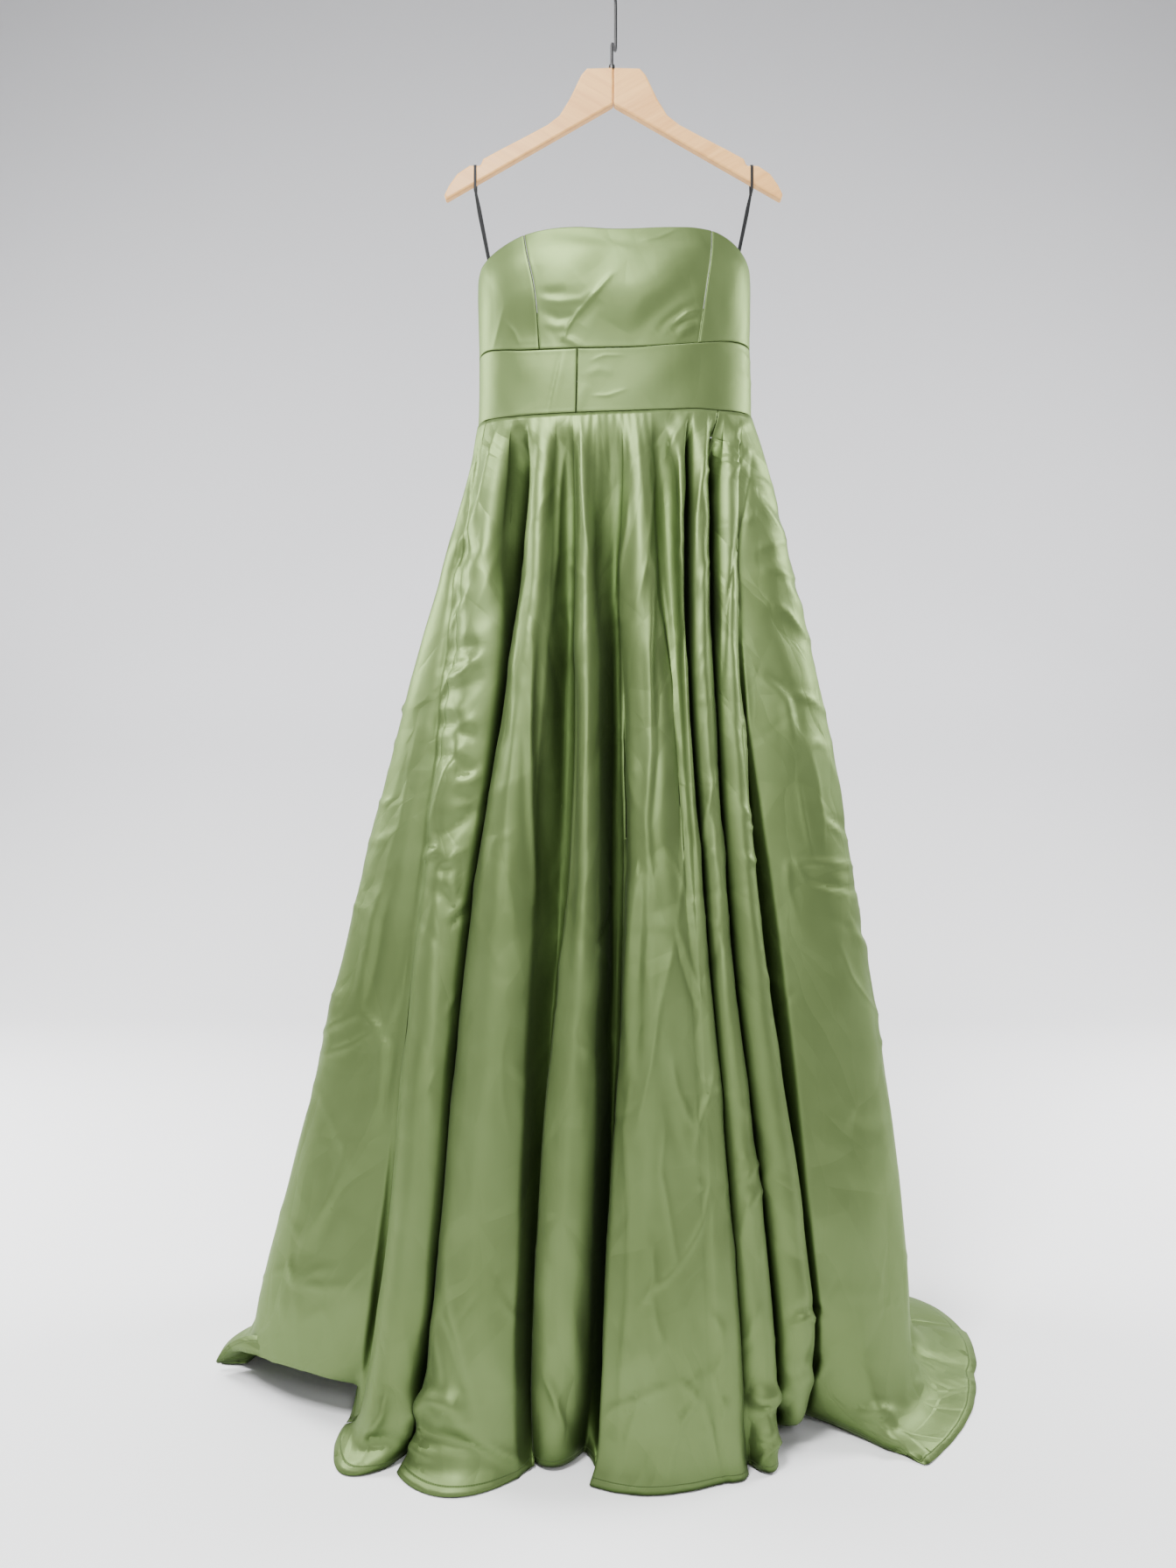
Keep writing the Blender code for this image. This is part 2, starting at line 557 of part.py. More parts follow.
def as_tool(tool, name):
    """Puts a helper shape with the cutters, out of the render."""
    for collection in list(tool.users_collection):
        collection.objects.unlink(tool)
    CUTTERS.objects.link(tool)
    tool.name = name
    tool.parent = FLOOR_LEVEL
    tool.hide_render = True
    tool.display_type = "WIRE"
    return tool


def round_tool(name, radius, length, matrix):
    """Helper cylinder, its length along the matrix's Z."""
    bpy.ops.mesh.primitive_cylinder_add(vertices=16, radius=radius, depth=length)
    tool = as_tool(bpy.context.object, name)
    tool.matrix_local = matrix
    return tool


def box_tool(name, centre, size):
    """Helper box."""
    bpy.ops.mesh.primitive_cube_add(size=1.0)
    tool = as_tool(bpy.context.object, name)
    tool.matrix_local = Matrix.Translation(centre) @ Matrix.Diagonal((*size, 1.0))
    return tool


def combine(piece, tool, operation):
    """Joins a helper shape to a piece, or cuts it out."""
    step = piece.modifiers.new(tool.name, "BOOLEAN")
    step.operation = operation
    step.solver = "EXACT"
    step.object = tool


def build_hanger():
    """Two mitred wooden arms, each with half of the hole that holds the hook's stem."""
    for side, name in ((-1, "hanger_arm_left"), (1, "hanger_arm_right")):
        outline = [(side * out, -down) for out, down in HANGER_OUTLINE]
        flat = outline_curve(name + "_outline", outline, 0.5 * HANGER_THICKNESS)
        flat.matrix_world = Matrix.Translation((0, 0, WOOD_TOP_HEIGHT)) @ Matrix.Rotation(np.pi / 2, 4, "X")
        bpy.context.view_layer.update()
        arm = mesh_from(flat, name, WOOD)
        bevel = arm.modifiers.new("rounded_edges", "BEVEL")
        bevel.width = HANGER_EDGE_ROUND
        bevel.segments = 2
        bevel.limit_method = "ANGLE"
        bevel.angle_limit = np.radians(60)
        hole = round_tool(name + "_stem_hole", WIRE_RADIUS + WIRE_CLEARANCE,
                          2 * (STEM_DEPTH + WIRE_CLEARANCE), Matrix.Translation((STEM_X, 0, WOOD_TOP_HEIGHT)))
        combine(arm, hole, "DIFFERENCE")


def hook_path():
    """Middle line of the hook: up the stem, out at the neck, up the side and over the bend."""
    centre = HOOK_SEAT_HEIGHT + WIRE_RADIUS - HOOK_RADIUS
    neck = WOOD_TOP_HEIGHT + NECK_HEIGHT
    flat = [(0.0, WOOD_TOP_HEIGHT - STEM_DEPTH), (0.0, neck - NECK_ROUND)]
    for angle in np.radians((30, 60, 90)):
        flat.append((NECK_ROUND * (1 - np.cos(angle)), neck - NECK_ROUND + NECK_ROUND * np.sin(angle)))
    for angle in np.radians((0, 30, 60, 90)):
        flat.append((HOOK_RADIUS - NECK_ROUND + NECK_ROUND * np.sin(angle),
                     neck + NECK_ROUND * (1 - np.cos(angle))))
    for angle in np.radians(np.linspace(0, 180, 19)):
        flat.append((HOOK_RADIUS * np.cos(angle), centre + HOOK_RADIUS * np.sin(angle)))
    return [(STEM_X + out * np.cos(HOOK_TURN), out * np.sin(HOOK_TURN), up) for out, up in flat]


def build_hook():
    """Black wire hook and the small collar where its stem leaves the wood."""
    wire = wire_curve("hook_line", hook_path(), WIRE_RADIUS, 2)
    bpy.context.view_layer.update()
    mesh_from(wire, "hanger_hook", BLACK_WIRE)
    inner = WIRE_RADIUS + WIRE_CLEARANCE
    profile = [(inner, COLLAR_PROFILE[0][1]), *COLLAR_PROFILE, (inner, COLLAR_PROFILE[-1][1])]
    mesh = bmesh.new()
    ring = [mesh.verts.new((out, 0.0, up)) for out, up in profile]
    for first, second in zip(ring, ring[1:] + ring[:1]):
        mesh.edges.new((first, second))
    data = bpy.data.meshes.new("hanger_collar")
    mesh.to_mesh(data)
    mesh.free()
    collar = place(bpy.data.objects.new("hanger_collar", data), BLACK_WIRE)
    collar.location = (STEM_X, 0.0, WOOD_TOP_HEIGHT)
    turn = collar.modifiers.new("turned", "SCREW")
    turn.steps = 16
    turn.render_steps = 16
    turn.use_merge_vertices = True
    turn.merge_threshold = 0.00001


def ribbon_wall(name, line, width, thickness, across, finish):
    """Flat ribbon along a line of points, its width along the given direction."""
    line = np.asarray(line)
    ahead = np.gradient(line, axis=0)
    ahead /= np.linalg.norm(ahead, axis=-1, keepdims=True)
    wide = np.asarray(across) - ahead * (ahead @ np.asarray(across))[:, None]
    wide /= np.linalg.norm(wide, axis=-1, keepdims=True)
    face = np.cross(wide, ahead)
    grid = np.stack([line - wide * width / 2, line + wide * width / 2], axis=1)
    normals = np.stack([face, face], axis=1)
    return wall(name, grid, normals, finish, thickness, 0.5 * thickness)


def loop_line(side):
    """Middle line of one hanging loop, from its sewn end in front, over the arm and down behind."""
    end_x, end_height = LOOP_END
    top = WOOD_TOP_HEIGHT - NOTCH_DROP + WIRE_CLEARANCE + 0.5 * LOOP_THICKNESS
    reach = 0.5 * HANGER_THICKNESS + WIRE_CLEARANCE + 0.5 * LOOP_THICKNESS
    bend = 0.003
    sewn_y = sewn_depth(side * (end_x + 0.5 * LOOP_WIDTH), end_height)
    clear = WOOD_TOP_HEIGHT - LOOP_CLEAR_DROP
    over = [(-reach, clear), (-reach, top - bend), (-reach + 0.3 * bend, top - 0.3 * bend),
            (-reach + bend, top), (reach - bend, top), (reach - 0.3 * bend, top - 0.3 * bend),
            (reach, top - bend), (reach, clear)]
    line = [(LOOP_NOTCH, y, z) for y, z in over]
    front, back = [], []
    for share in (0.0, 0.3, 0.6, 0.85):
        x = end_x + (LOOP_NOTCH - end_x) * share
        z = end_height + (clear - end_height) * share
        middle = sewn_y * (1 - share)
        apart = LOOP_THICKNESS + (reach - LOOP_THICKNESS) * share
        front.append((x - LOOP_OFFSET * share, middle - apart, z))
        back.append((x + LOOP_OFFSET * share, middle + apart, z))
    low = (end_x, sewn_y, end_height - LOOP_SEWN)
    line = [(low[0], low[1] - LOOP_THICKNESS, low[2])] + front + line + back[::-1]
    line += [(low[0], low[1] + LOOP_THICKNESS, low[2])]
    return [(side * x, y, z) for x, y, z in line]


def sewn_depth(x, height):
    """How far back a loop lies where it is sewn inside the bodice's back, at a place across."""
    heights = [ring.height for ring in TORSO_RINGS]
    width = smooth(heights, [ring.left if x < 0 else ring.right for ring in TORSO_RINGS], height)
    back = smooth(heights, [ring.back for ring in TORSO_RINGS], height)
    share = (abs(x) / width) ** TORSO_SQUARENESS
    depth = back * (1 - share) ** (1 / TORSO_SQUARENESS)
    slope = share / abs(x) * depth / (1 - share)
    inward = CLOTH + SEAM_GAP + LOOP_SLACK + 1.5 * LOOP_THICKNESS
    return float(depth - inward * np.hypot(1.0, slope))


def build_loops():
    """Black ribbon loops that hang the gown from the notches."""
    for side, name in ((-1, "loop_left"), (1, "loop_right")):
        ribbon_wall(name, loop_line(side), LOOP_WIDTH, LOOP_THICKNESS, (1.0, 0.0, 0.0), RIBBON)


def back_line():
    """Outer face of the gown down the centre back, from the neckline to the zip's lower end."""
    neck = NECKLINE[0] - 0.002
    heights = np.linspace(neck, WAIST[0], 6)
    line = [tuple(torso_point(np.array(0.0), height)) for height in heights]
    counts = panel_columns()
    for station in np.linspace(0.2, ZIP_END_STATION, 6):
        row, bearings = skirt_row(station, counts)
        bearings = np.where(bearings > 180.0, bearings - 360.0, bearings)
        order = np.argsort(bearings)
        line.append(tuple(np.interp(0.0, bearings[order], row[order, axis]) for axis in range(3)))
    return np.asarray(line)


def build_zip():
    """Concealed zip: tape behind the centre back seam, slider near the top and its pull tab."""
    line = back_line()
    line[:, 0] = 0.0
    inside = line - np.array([0.0, CLOTH + TAPE_GAP + 0.5 * TAPE_THICKNESS, 0.0])
    ribbon_wall("zip_tape", inside, TAPE_WIDTH, TAPE_THICKNESS, (1.0, 0.0, 0.0), TAPE)
    build_slider(pull_pivot())
    build_pull(pull_pivot())


def pull_pivot():
    """Middle of the pin that the pull tab swings on."""
    height = NECKLINE[0] - SLIDER_BELOW_NECK
    back = float(torso_point(np.array(0.0), height)[1])
    return Vector((0.0, back + SEAM_GAP + SLIDER_SIZE[1] + TAB_HEAD_RADIUS + WIRE_CLEARANCE, height))


def build_slider(pivot):
    """Slider on the closed seam, with the two ears and the pin that carry the pull tab."""
    wide, deep, tall = SLIDER_SIZE
    face = pivot.y - TAB_HEAD_RADIUS - WIRE_CLEARANCE
    mesh = bmesh.new()
    body = Matrix.Translation((0.0, face - 0.5 * deep, pivot.z)) @ Matrix.Diagonal((wide, deep, tall, 1.0))
    bmesh.ops.create_cube(mesh, size=1.0, matrix=body)
    data = bpy.data.meshes.new("zip_slider")
    mesh.to_mesh(data)
    mesh.free()
    slider = place(bpy.data.objects.new("zip_slider", data), ENAMEL)
    soft = slider.modifiers.new("rounded_edges", "BEVEL")
    soft.width = SLIDER_EDGE_ROUND
    soft.segments = 2
    reach = EAR_REACH + EAR_ROOT
    for side, name in ((-1, "ear_left"), (1, "ear_right")):
        middle = (side * 0.5 * (wide - EAR_THICKNESS - EAR_INSET), face - EAR_ROOT + 0.5 * reach, pivot.z)
        combine(slider, box_tool(name, middle, (EAR_THICKNESS, reach, EAR_HEIGHT)), "UNION")
    along_x = Matrix.Translation(pivot) @ Matrix.Rotation(0.5 * np.pi, 4, "Y")
    combine(slider, round_tool("pin", PIN_RADIUS, wide - EAR_THICKNESS - EAR_INSET, along_x), "UNION")


def build_pull(pivot):
    """Pull tab: a small plate that hangs from a ring round the pin."""
    head_wide, thick, long = TAB_SIZE
    corner = 0.3 * TAB_END_WIDTH
    half = [(0.5 * head_wide, 0.0), (0.5 * head_wide, -0.3 * long), (0.5 * TAB_END_WIDTH, -0.55 * long),
            (0.5 * TAB_END_WIDTH, -long + corner), (0.5 * TAB_END_WIDTH - corner, -long)]
    outline = half + [(-x, z) for x, z in reversed(half)]
    flat = outline_curve("pull_outline", outline, 0.5 * thick)
    flat.matrix_world = Matrix.Translation(pivot) @ Matrix.Rotation(0.5 * np.pi, 4, "X")
    bpy.context.view_layer.update()
    tab = mesh_from(flat, "zip_pull", ENAMEL)
    along_x = Matrix.Translation(pivot) @ Matrix.Rotation(0.5 * np.pi, 4, "Y")
    combine(tab, round_tool("pull_ring", TAB_HEAD_RADIUS, head_wide, along_x), "UNION")
    combine(tab, round_tool("pull_hole", TAB_HOLE_RADIUS, 2.0 * head_wide, along_x), "DIFFERENCE")


def main():
    """Builds the gown, then the hanger that holds it."""
    build_torso()
    build_skirt()
    build_zip()
    build_loops()
    build_hanger()
    build_hook()


for old in list(bpy.data.objects):
    bpy.data.objects.remove(old)
GOWN = bpy.data.collections.new("ball_gown")
CUTTERS = bpy.data.collections.new("cutters")
bpy.context.scene.collection.children.link(GOWN)
bpy.context.scene.collection.children.link(CUTTERS)
FLOOR_LEVEL = bpy.data.objects.new("floor_level", None)
FLOOR_LEVEL.location = (0.0, 0.0, -HOOK_SEAT_HEIGHT)
GOWN.objects.link(FLOOR_LEVEL)
main()
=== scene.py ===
"""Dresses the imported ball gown: satin with its folds, creases and seams, ribbon loops, wood and wire.

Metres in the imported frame: the origin is the seat in the hook's bend, +Z is up and the front faces
-Y. Heights in the tables are above the floor that the hem lies on. A bearing goes round the gown in
degrees from the centre back: 90 is the left side seen from the front, 180 the centre front and 270
the right side. Wrinkles are placed by the pixel of the photograph that they lie on, read in its
1344 x 1792 frame, with half their width and their height in mm.
"""

import logging
import math
from dataclasses import dataclass, field
from enum import Enum
from functools import partial
from typing import Iterable, List, Sequence, Tuple

import bpy
import numpy as np
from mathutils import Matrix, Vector


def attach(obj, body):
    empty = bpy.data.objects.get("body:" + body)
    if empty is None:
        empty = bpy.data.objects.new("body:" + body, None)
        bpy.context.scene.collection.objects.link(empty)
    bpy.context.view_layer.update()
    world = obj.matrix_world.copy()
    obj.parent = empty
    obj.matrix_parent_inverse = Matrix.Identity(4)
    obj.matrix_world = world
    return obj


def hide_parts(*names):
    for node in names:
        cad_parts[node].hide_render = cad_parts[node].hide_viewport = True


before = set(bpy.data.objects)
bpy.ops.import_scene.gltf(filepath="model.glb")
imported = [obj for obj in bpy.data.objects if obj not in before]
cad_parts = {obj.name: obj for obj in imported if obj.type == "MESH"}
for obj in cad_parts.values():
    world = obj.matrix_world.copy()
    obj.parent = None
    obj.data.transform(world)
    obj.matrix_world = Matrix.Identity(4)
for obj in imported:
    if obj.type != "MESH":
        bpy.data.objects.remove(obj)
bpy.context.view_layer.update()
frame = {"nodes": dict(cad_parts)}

LOG = logging.getLogger("ball_gown")
Point = Tuple[float, float, float]
Pixel = Tuple[float, float]
Colour = Tuple[float, float, float]

HOOK_SEAT_HEIGHT = 1.772
CLOTH = 0.0006
PIECE_GAP = 0.0004
PIXELS_PER_METRE = 1120.0
BODY = "gown"


def smooth(knots: Sequence[float], values: Sequence[float], at: np.ndarray) -> np.ndarray:
    """Reads a cubic through values at knots.

    Args:
        knots: places of the values, rising.
        values: one value for each knot.
        at: places to read.

    Returns:
        The cubic's value at each place.
    """
    knots = np.asarray(knots, float)
    values = np.asarray(values, float)
    at = np.clip(np.asarray(at, float), knots[0], knots[-1])
    slopes = np.gradient(values, knots)
    i = np.clip(np.searchsorted(knots, at, side="right") - 1, 0, len(knots) - 2)
    span = knots[i + 1] - knots[i]
    t = (at - knots[i]) / span
    rise = values[i] * (1 + 2 * t) * (1 - t) ** 2 + values[i + 1] * t * t * (3 - 2 * t)
    return rise + span * (slopes[i] * t * (1 - t) ** 2 + slopes[i + 1] * t * t * (t - 1))


def round_the_body(bearings: Sequence[float], values: Sequence[float], at: np.ndarray) -> np.ndarray:
    """Reads a cubic through values that are given once round the body.

    Args:
        bearings: bearing of each value, from the centre back.
        values: one value for each bearing.
        at: bearings to read.

    Returns:
        The value at each bearing.
    """
    return smooth(list(bearings) + [bearings[0] + 360.0], list(values) + [values[0]], np.mod(at, 360.0))


def ring_point(bearing: np.ndarray, left: np.ndarray, right: np.ndarray, front: np.ndarray,
               back: np.ndarray, squareness: np.ndarray) -> Tuple[np.ndarray, ...]:
    """Finds points on a ring round the gown.

    Args:
        bearing: bearings of the points.
        left: half width on the left.
        right: half width on the right.
        front: depth in front of the middle.
        back: depth behind it.
        squareness: 2 for an ellipse, more for a squarer ring.

    Returns:
        The x and y of each point and of its outward normal.
    """
    angle = np.radians(bearing)
    side, ahead = np.sin(angle), np.cos(angle)
    half_width = np.where(side > 0, left, right)
    half_depth = np.where(ahead > 0, back, front)
    power = 2.0 / squareness
    x = -np.sign(side) * half_width * np.abs(side) ** power
    y = np.sign(ahead) * half_depth * np.abs(ahead) ** power
    nx = np.sign(x) * (np.abs(x) / half_width) ** (squareness - 1) / half_width
    ny = np.sign(y) * (np.abs(y) / half_depth) ** (squareness - 1) / half_depth
    length = np.hypot(nx, ny)
    return x, y, nx / length, ny / length


def grid_normals(grid: np.ndarray) -> np.ndarray:
    """Finds the outward normals of a grid whose rows go up and whose columns follow the bearing.

    Args:
        grid: points, rows by columns.

    Returns:
        One unit normal for each point.
    """
    normals = np.cross(np.gradient(grid, axis=1), np.gradient(grid, axis=0))
    return normals / np.maximum(np.linalg.norm(normals, axis=-1, keepdims=True), 1e-12)


def blur(values: np.ndarray, passes: int, axis: int, ring: bool = False) -> np.ndarray:
    """Softens a grid along one axis with a 1-2-1 kernel.

    Args:
        values: grid of points or numbers.
        passes: how often the kernel runs.
        axis: axis that it runs along.
        ring: whether the axis closes on itself.

    Returns:
        The softened grid.
    """
    for _ in range(passes):
        before = np.roll(values, 1, axis)
        after = np.roll(values, -1, axis)
        soft = 0.25 * before + 0.5 * values + 0.25 * after
        if not ring:
            ends = [slice(None)] * values.ndim
            for end in (0, -1):
                ends[axis] = end
                soft[tuple(ends)] = values[tuple(ends)]
        values = soft
    return values


@dataclass(frozen=True)
class PhotoView:
    """The camera that fits the photograph: level, in front of the gown, at the height of its horizon.

    Attributes:
        focal: focal length in pixels.
        middle: the picture's middle pixel.
        distance: from the hanger's plane.
        height: above the floor.
        across: right of the gown's centre line.
        sensor: height of the camera's sensor in mm.
        behind_scale: how much closer together the back's wrinkles lie than the front's.
        behind_shift: how far they are shifted, so that the back doesn't repeat the front.
    """

    focal: float = 1346.0
    middle: Pixel = (672.0, 896.0)
    distance: float = 1.504
    height: float = 0.743
    across: float = -0.0324
    sensor: float = 36.0
    behind_scale: float = 0.88
    behind_shift: Pixel = (31.0, -42.0)

    def pixels(self, grid: np.ndarray, from_behind: bool = False) -> Tuple[np.ndarray, np.ndarray]:
        """Projects points whose z is above the floor into the photograph.

        Args:
            grid: points.
            from_behind: whether to look at the back, mirrored left to right.

        Returns:
            The pixel column and row of each point.
        """
        depth = self.distance + (-grid[..., 1] if from_behind else grid[..., 1])
        column = self.middle[0] + self.focal * (grid[..., 0] - self.across) / depth
        row = self.middle[1] - self.focal * (grid[..., 2] - self.height) / depth
        if from_behind:
            column = self.middle[0] + self.behind_scale * (column - self.middle[0]) + self.behind_shift[0]
            row = row + self.behind_shift[1]
        return column, row

    def camera(self) -> bpy.types.Object:
        """Makes the camera and sets it as the scene's."""
        data = bpy.data.cameras.new("photo_camera")
        data.sensor_width = self.sensor
        data.lens = self.focal / (2.0 * self.middle[1]) * self.sensor
        camera = bpy.data.objects.new("photo_camera", data)
        bpy.context.scene.collection.objects.link(camera)
        camera.location = (self.across, -self.distance, self.height - HOOK_SEAT_HEIGHT)
        camera.rotation_euler = (math.pi / 2.0, 0.0, 0.0)
        bpy.context.scene.camera = camera
        return camera


PHOTO = PhotoView()


class Shape(Enum):
    """Cross-section of a wrinkle: round, pressed sharp, a step from high to low, or two flat facets."""

    SOFT = "soft"
    CRISP = "crisp"
    STEP = "step"
    FACET = "facet"


@dataclass(frozen=True)
class Wrinkle:
    """One wrinkle in the cloth, along a line of the photograph's pixels.

    Attributes:
        path: pixels that it runs through.
        width: half its width.
        height: how far it stands out, or in where it is negative.
        shape: its cross-section. A step is high on the right of its path's direction.
    """

    path: Tuple[Pixel, ...]
    width: float
    height: float
    shape: Shape = Shape.CRISP

    def lift(self, column: np.ndarray, row: np.ndarray) -> np.ndarray:
        """Works out how far the wrinkle moves each point along its normal.

        Args:
            column: pixel column of each point.
            row: pixel row of each point.

        Returns:
            Distance outward for each point.
        """
        width = self.width * PIXELS_PER_METRE
        reach = 4.0 * width
        path = np.asarray(self.path, float)
        moved = np.zeros_like(column)
        low, high = path.min(axis=0) - reach, path.max(axis=0) + reach
        near = (column > low[0]) & (column < high[0]) & (row > low[1]) & (row < high[1])
        if not near.any():
            return moved
        x, y = column[near], row[near]
        steps = np.diff(path, axis=0)
        lengths = np.hypot(steps[:, 0], steps[:, 1])
        total = lengths.sum()
        best = np.full(x.shape, np.inf)
        across = np.zeros(x.shape)
        along = np.zeros(x.shape)
        before = 0.0
        for start, step, length in zip(path[:-1], steps, lengths):
            t = np.clip(((x - start[0]) * step[0] + (y - start[1]) * step[1]) / length ** 2, 0.0, 1.0)
            dx, dy = x - start[0] - t * step[0], y - start[1] - t * step[1]
            distance = np.hypot(dx, dy)
            closer = distance < best
            best = np.where(closer, distance, best)
            sign = np.sign(step[0] * dy - step[1] * dx)
            across = np.where(closer, sign * distance, across)
            along = np.where(closer, (before + t * length) / total, along)
            before += length
        fade = np.sin(np.pi * np.clip(along, 0.02, 0.98)) ** 0.5
        share = across / width
        if self.shape is Shape.SOFT:
            profile = np.exp(-0.5 * share ** 2)
        elif self.shape is Shape.CRISP:
            profile = np.exp(0.5 - np.sqrt(0.25 + 4.0 * share ** 2))
        elif self.shape is Shape.FACET:
            profile = np.clip(1.0 - 0.4 * np.abs(share), 0.0, 1.0) ** 1.4
        else:
            profile = 1.65 * share * np.exp(-0.5 * share ** 2)
        moved[near] = self.height * fade * profile
        return moved


def press(grid: np.ndarray, wrinkles: Iterable[Wrinkle], from_behind: bool = False) -> np.ndarray:
    """Presses wrinkles into a sheet.

    Args:
        grid: points with z above the floor.
        wrinkles: what to press.
        from_behind: whether they lie on the back, mirrored.

    Returns:
        The moved points.
    """
    normals = grid_normals(grid)
    column, row = PHOTO.pixels(grid, from_behind)
    facing = normals[..., 1] if from_behind else -normals[..., 1]
    shows = np.clip((facing + 0.25) / 0.4, 0.0, 1.0)
    lift = sum(wrinkle.lift(column, row) for wrinkle in wrinkles)
    return grid + normals * (lift * shows)[..., None]


def ripple(grid: np.ndarray, size: float, seed: int, along: float = 3.0) -> np.ndarray:
    """Works out a soft uneven waviness over a sheet, the same on each run.

    Args:
        grid: points.
        size: most that it reaches.
        seed: picks the waves.
        along: how much longer the waves are up and down than across.

    Returns:
        Distance outward for each point.
    """
    chance = np.random.default_rng(seed)
    angle = np.arctan2(grid[..., 0], -grid[..., 1])
    round_way = angle * 0.35
    total = np.zeros(grid.shape[:2])
    for _ in range(14):
        wave = chance.uniform(0.035, 0.13)
        tilt = chance.normal(0.0, 0.5)
        phase = chance.uniform(0.0, 2.0 * np.pi)
        rise = grid[..., 2] / along
        sway = 3.0 * np.sin(rise * 9.0 + phase)
        total += np.sin(2.0 * np.pi * (round_way + tilt * rise) / wave + phase + sway)
    return total * size / 5.0


class Mesh:
    """Makes a mesh object from grids of points, and adds it to the scene."""

    @staticmethod
    def sheet(name: str, grid: np.ndarray) -> bpy.types.Object:
        """Makes a thin closed shell whose outer face is a grid and whose inner face is half as dense.

        Args:
            name: the object's name.
            grid: outer points with z above the floor, odd numbers of rows and columns.

        Returns:
            The new object, smooth shaded.
        """
        rows = grid.shape[0] - (grid.shape[0] + 1) % 2
        columns = grid.shape[1] - (grid.shape[1] + 1) % 2
        grid = grid[:rows, :columns]
        normals = grid_normals(grid)
        outer = np.arange(rows * columns).reshape(rows, columns)
        coarse = (grid - normals * CLOTH)[::2, ::2]
        inner = rows * columns + np.arange(coarse.shape[0] * coarse.shape[1]).reshape(coarse.shape[:2])
        faces = Mesh.quads(outer)
        faces += [tuple(reversed(face)) for face in Mesh.quads(inner)]
        faces += Mesh.rim(outer, inner)
        points = np.concatenate([grid.reshape(-1, 3), coarse.reshape(-1, 3)])
        points[:, 2] -= HOOK_SEAT_HEIGHT
        piece = Mesh.add(name, points, faces)
        Mesh.unwrap(piece, grid, coarse)
        return piece

    @staticmethod
    def quads(index: np.ndarray) -> List[Tuple[int, ...]]:
        """Lists the faces of a grid of vertex numbers, facing out.

        Args:
            index: vertex numbers, rows by columns.

        Returns:
            One face for each cell.
        """
        corners = (index[:-1, :-1], index[:-1, 1:], index[1:, 1:], index[1:, :-1])
        return list(zip(*(corner.ravel().tolist() for corner in corners)))

    @staticmethod
    def rim(outer: np.ndarray, inner: np.ndarray) -> List[Tuple[int, ...]]:
        """Joins the borders of a fine outer grid and an inner grid that is half as dense.

        Args:
            outer: vertex numbers of the outer grid.
            inner: vertex numbers of the inner grid.

        Returns:
            The faces round the border.
        """
        def border(index: np.ndarray) -> List[int]:
            """Vertex numbers once round a grid."""
            return (index[0, :-1].tolist() + index[:-1, -1].tolist()
                    + index[-1, :0:-1].tolist() + index[:0:-1, 0].tolist())

        fine, coarse = border(outer), border(inner)
        faces = []
        for step, low in enumerate(coarse):
            high = coarse[(step + 1) % len(coarse)]
            first, middle, last = (fine[(2 * step + k) % len(fine)] for k in range(3))
            faces += [(middle, first, low), (last, middle, high), (middle, low, high)]
        return faces

    @staticmethod
    def add(name: str, points: Sequence[Point], faces: Sequence[Sequence[int]]) -> bpy.types.Object:
        """Adds a mesh object to the scene.

        Args:
            name: the object's name.
            points: its vertices.
            faces: its faces.

        Returns:
            The new object, smooth shaded.
        """
        data = bpy.data.meshes.new(name)
        data.from_pydata([tuple(point) for point in points], [], faces)
        data.validate()
        data.shade_smooth()
        piece = bpy.data.objects.new(name, data)
        bpy.context.scene.collection.objects.link(piece)
        return piece

    @staticmethod
    def unwrap(piece: bpy.types.Object, grid: np.ndarray, coarse: np.ndarray) -> None:
        """Lays out a sheet's weave: u across and v up the cloth, in metres.

        Args:
            piece: the sheet.
            grid: its outer points.
            coarse: its inner points.
        """
        coordinates = []
        for points in (grid, coarse):
            across = np.linalg.norm(np.diff(points, axis=1), axis=-1)
            up = np.linalg.norm(np.diff(points, axis=0), axis=-1).mean(axis=1)
            u = np.concatenate([np.zeros((points.shape[0], 1)), np.cumsum(across, axis=1)], axis=1)
            u -= u.mean(axis=1, keepdims=True)
            v = np.concatenate([[0.0], np.cumsum(up)])[:, None] + 0.0 * u
            coordinates.append(np.stack([u, v], axis=-1).reshape(-1, 2))
        flat = np.concatenate(coordinates)
        layer = piece.data.uv_layers.new(name="weave")
        corners = np.empty(len(piece.data.loops), dtype=np.int32)
        piece.data.loops.foreach_get("vertex_index", corners)
        layer.data.foreach_set("uv", flat[corners].ravel())


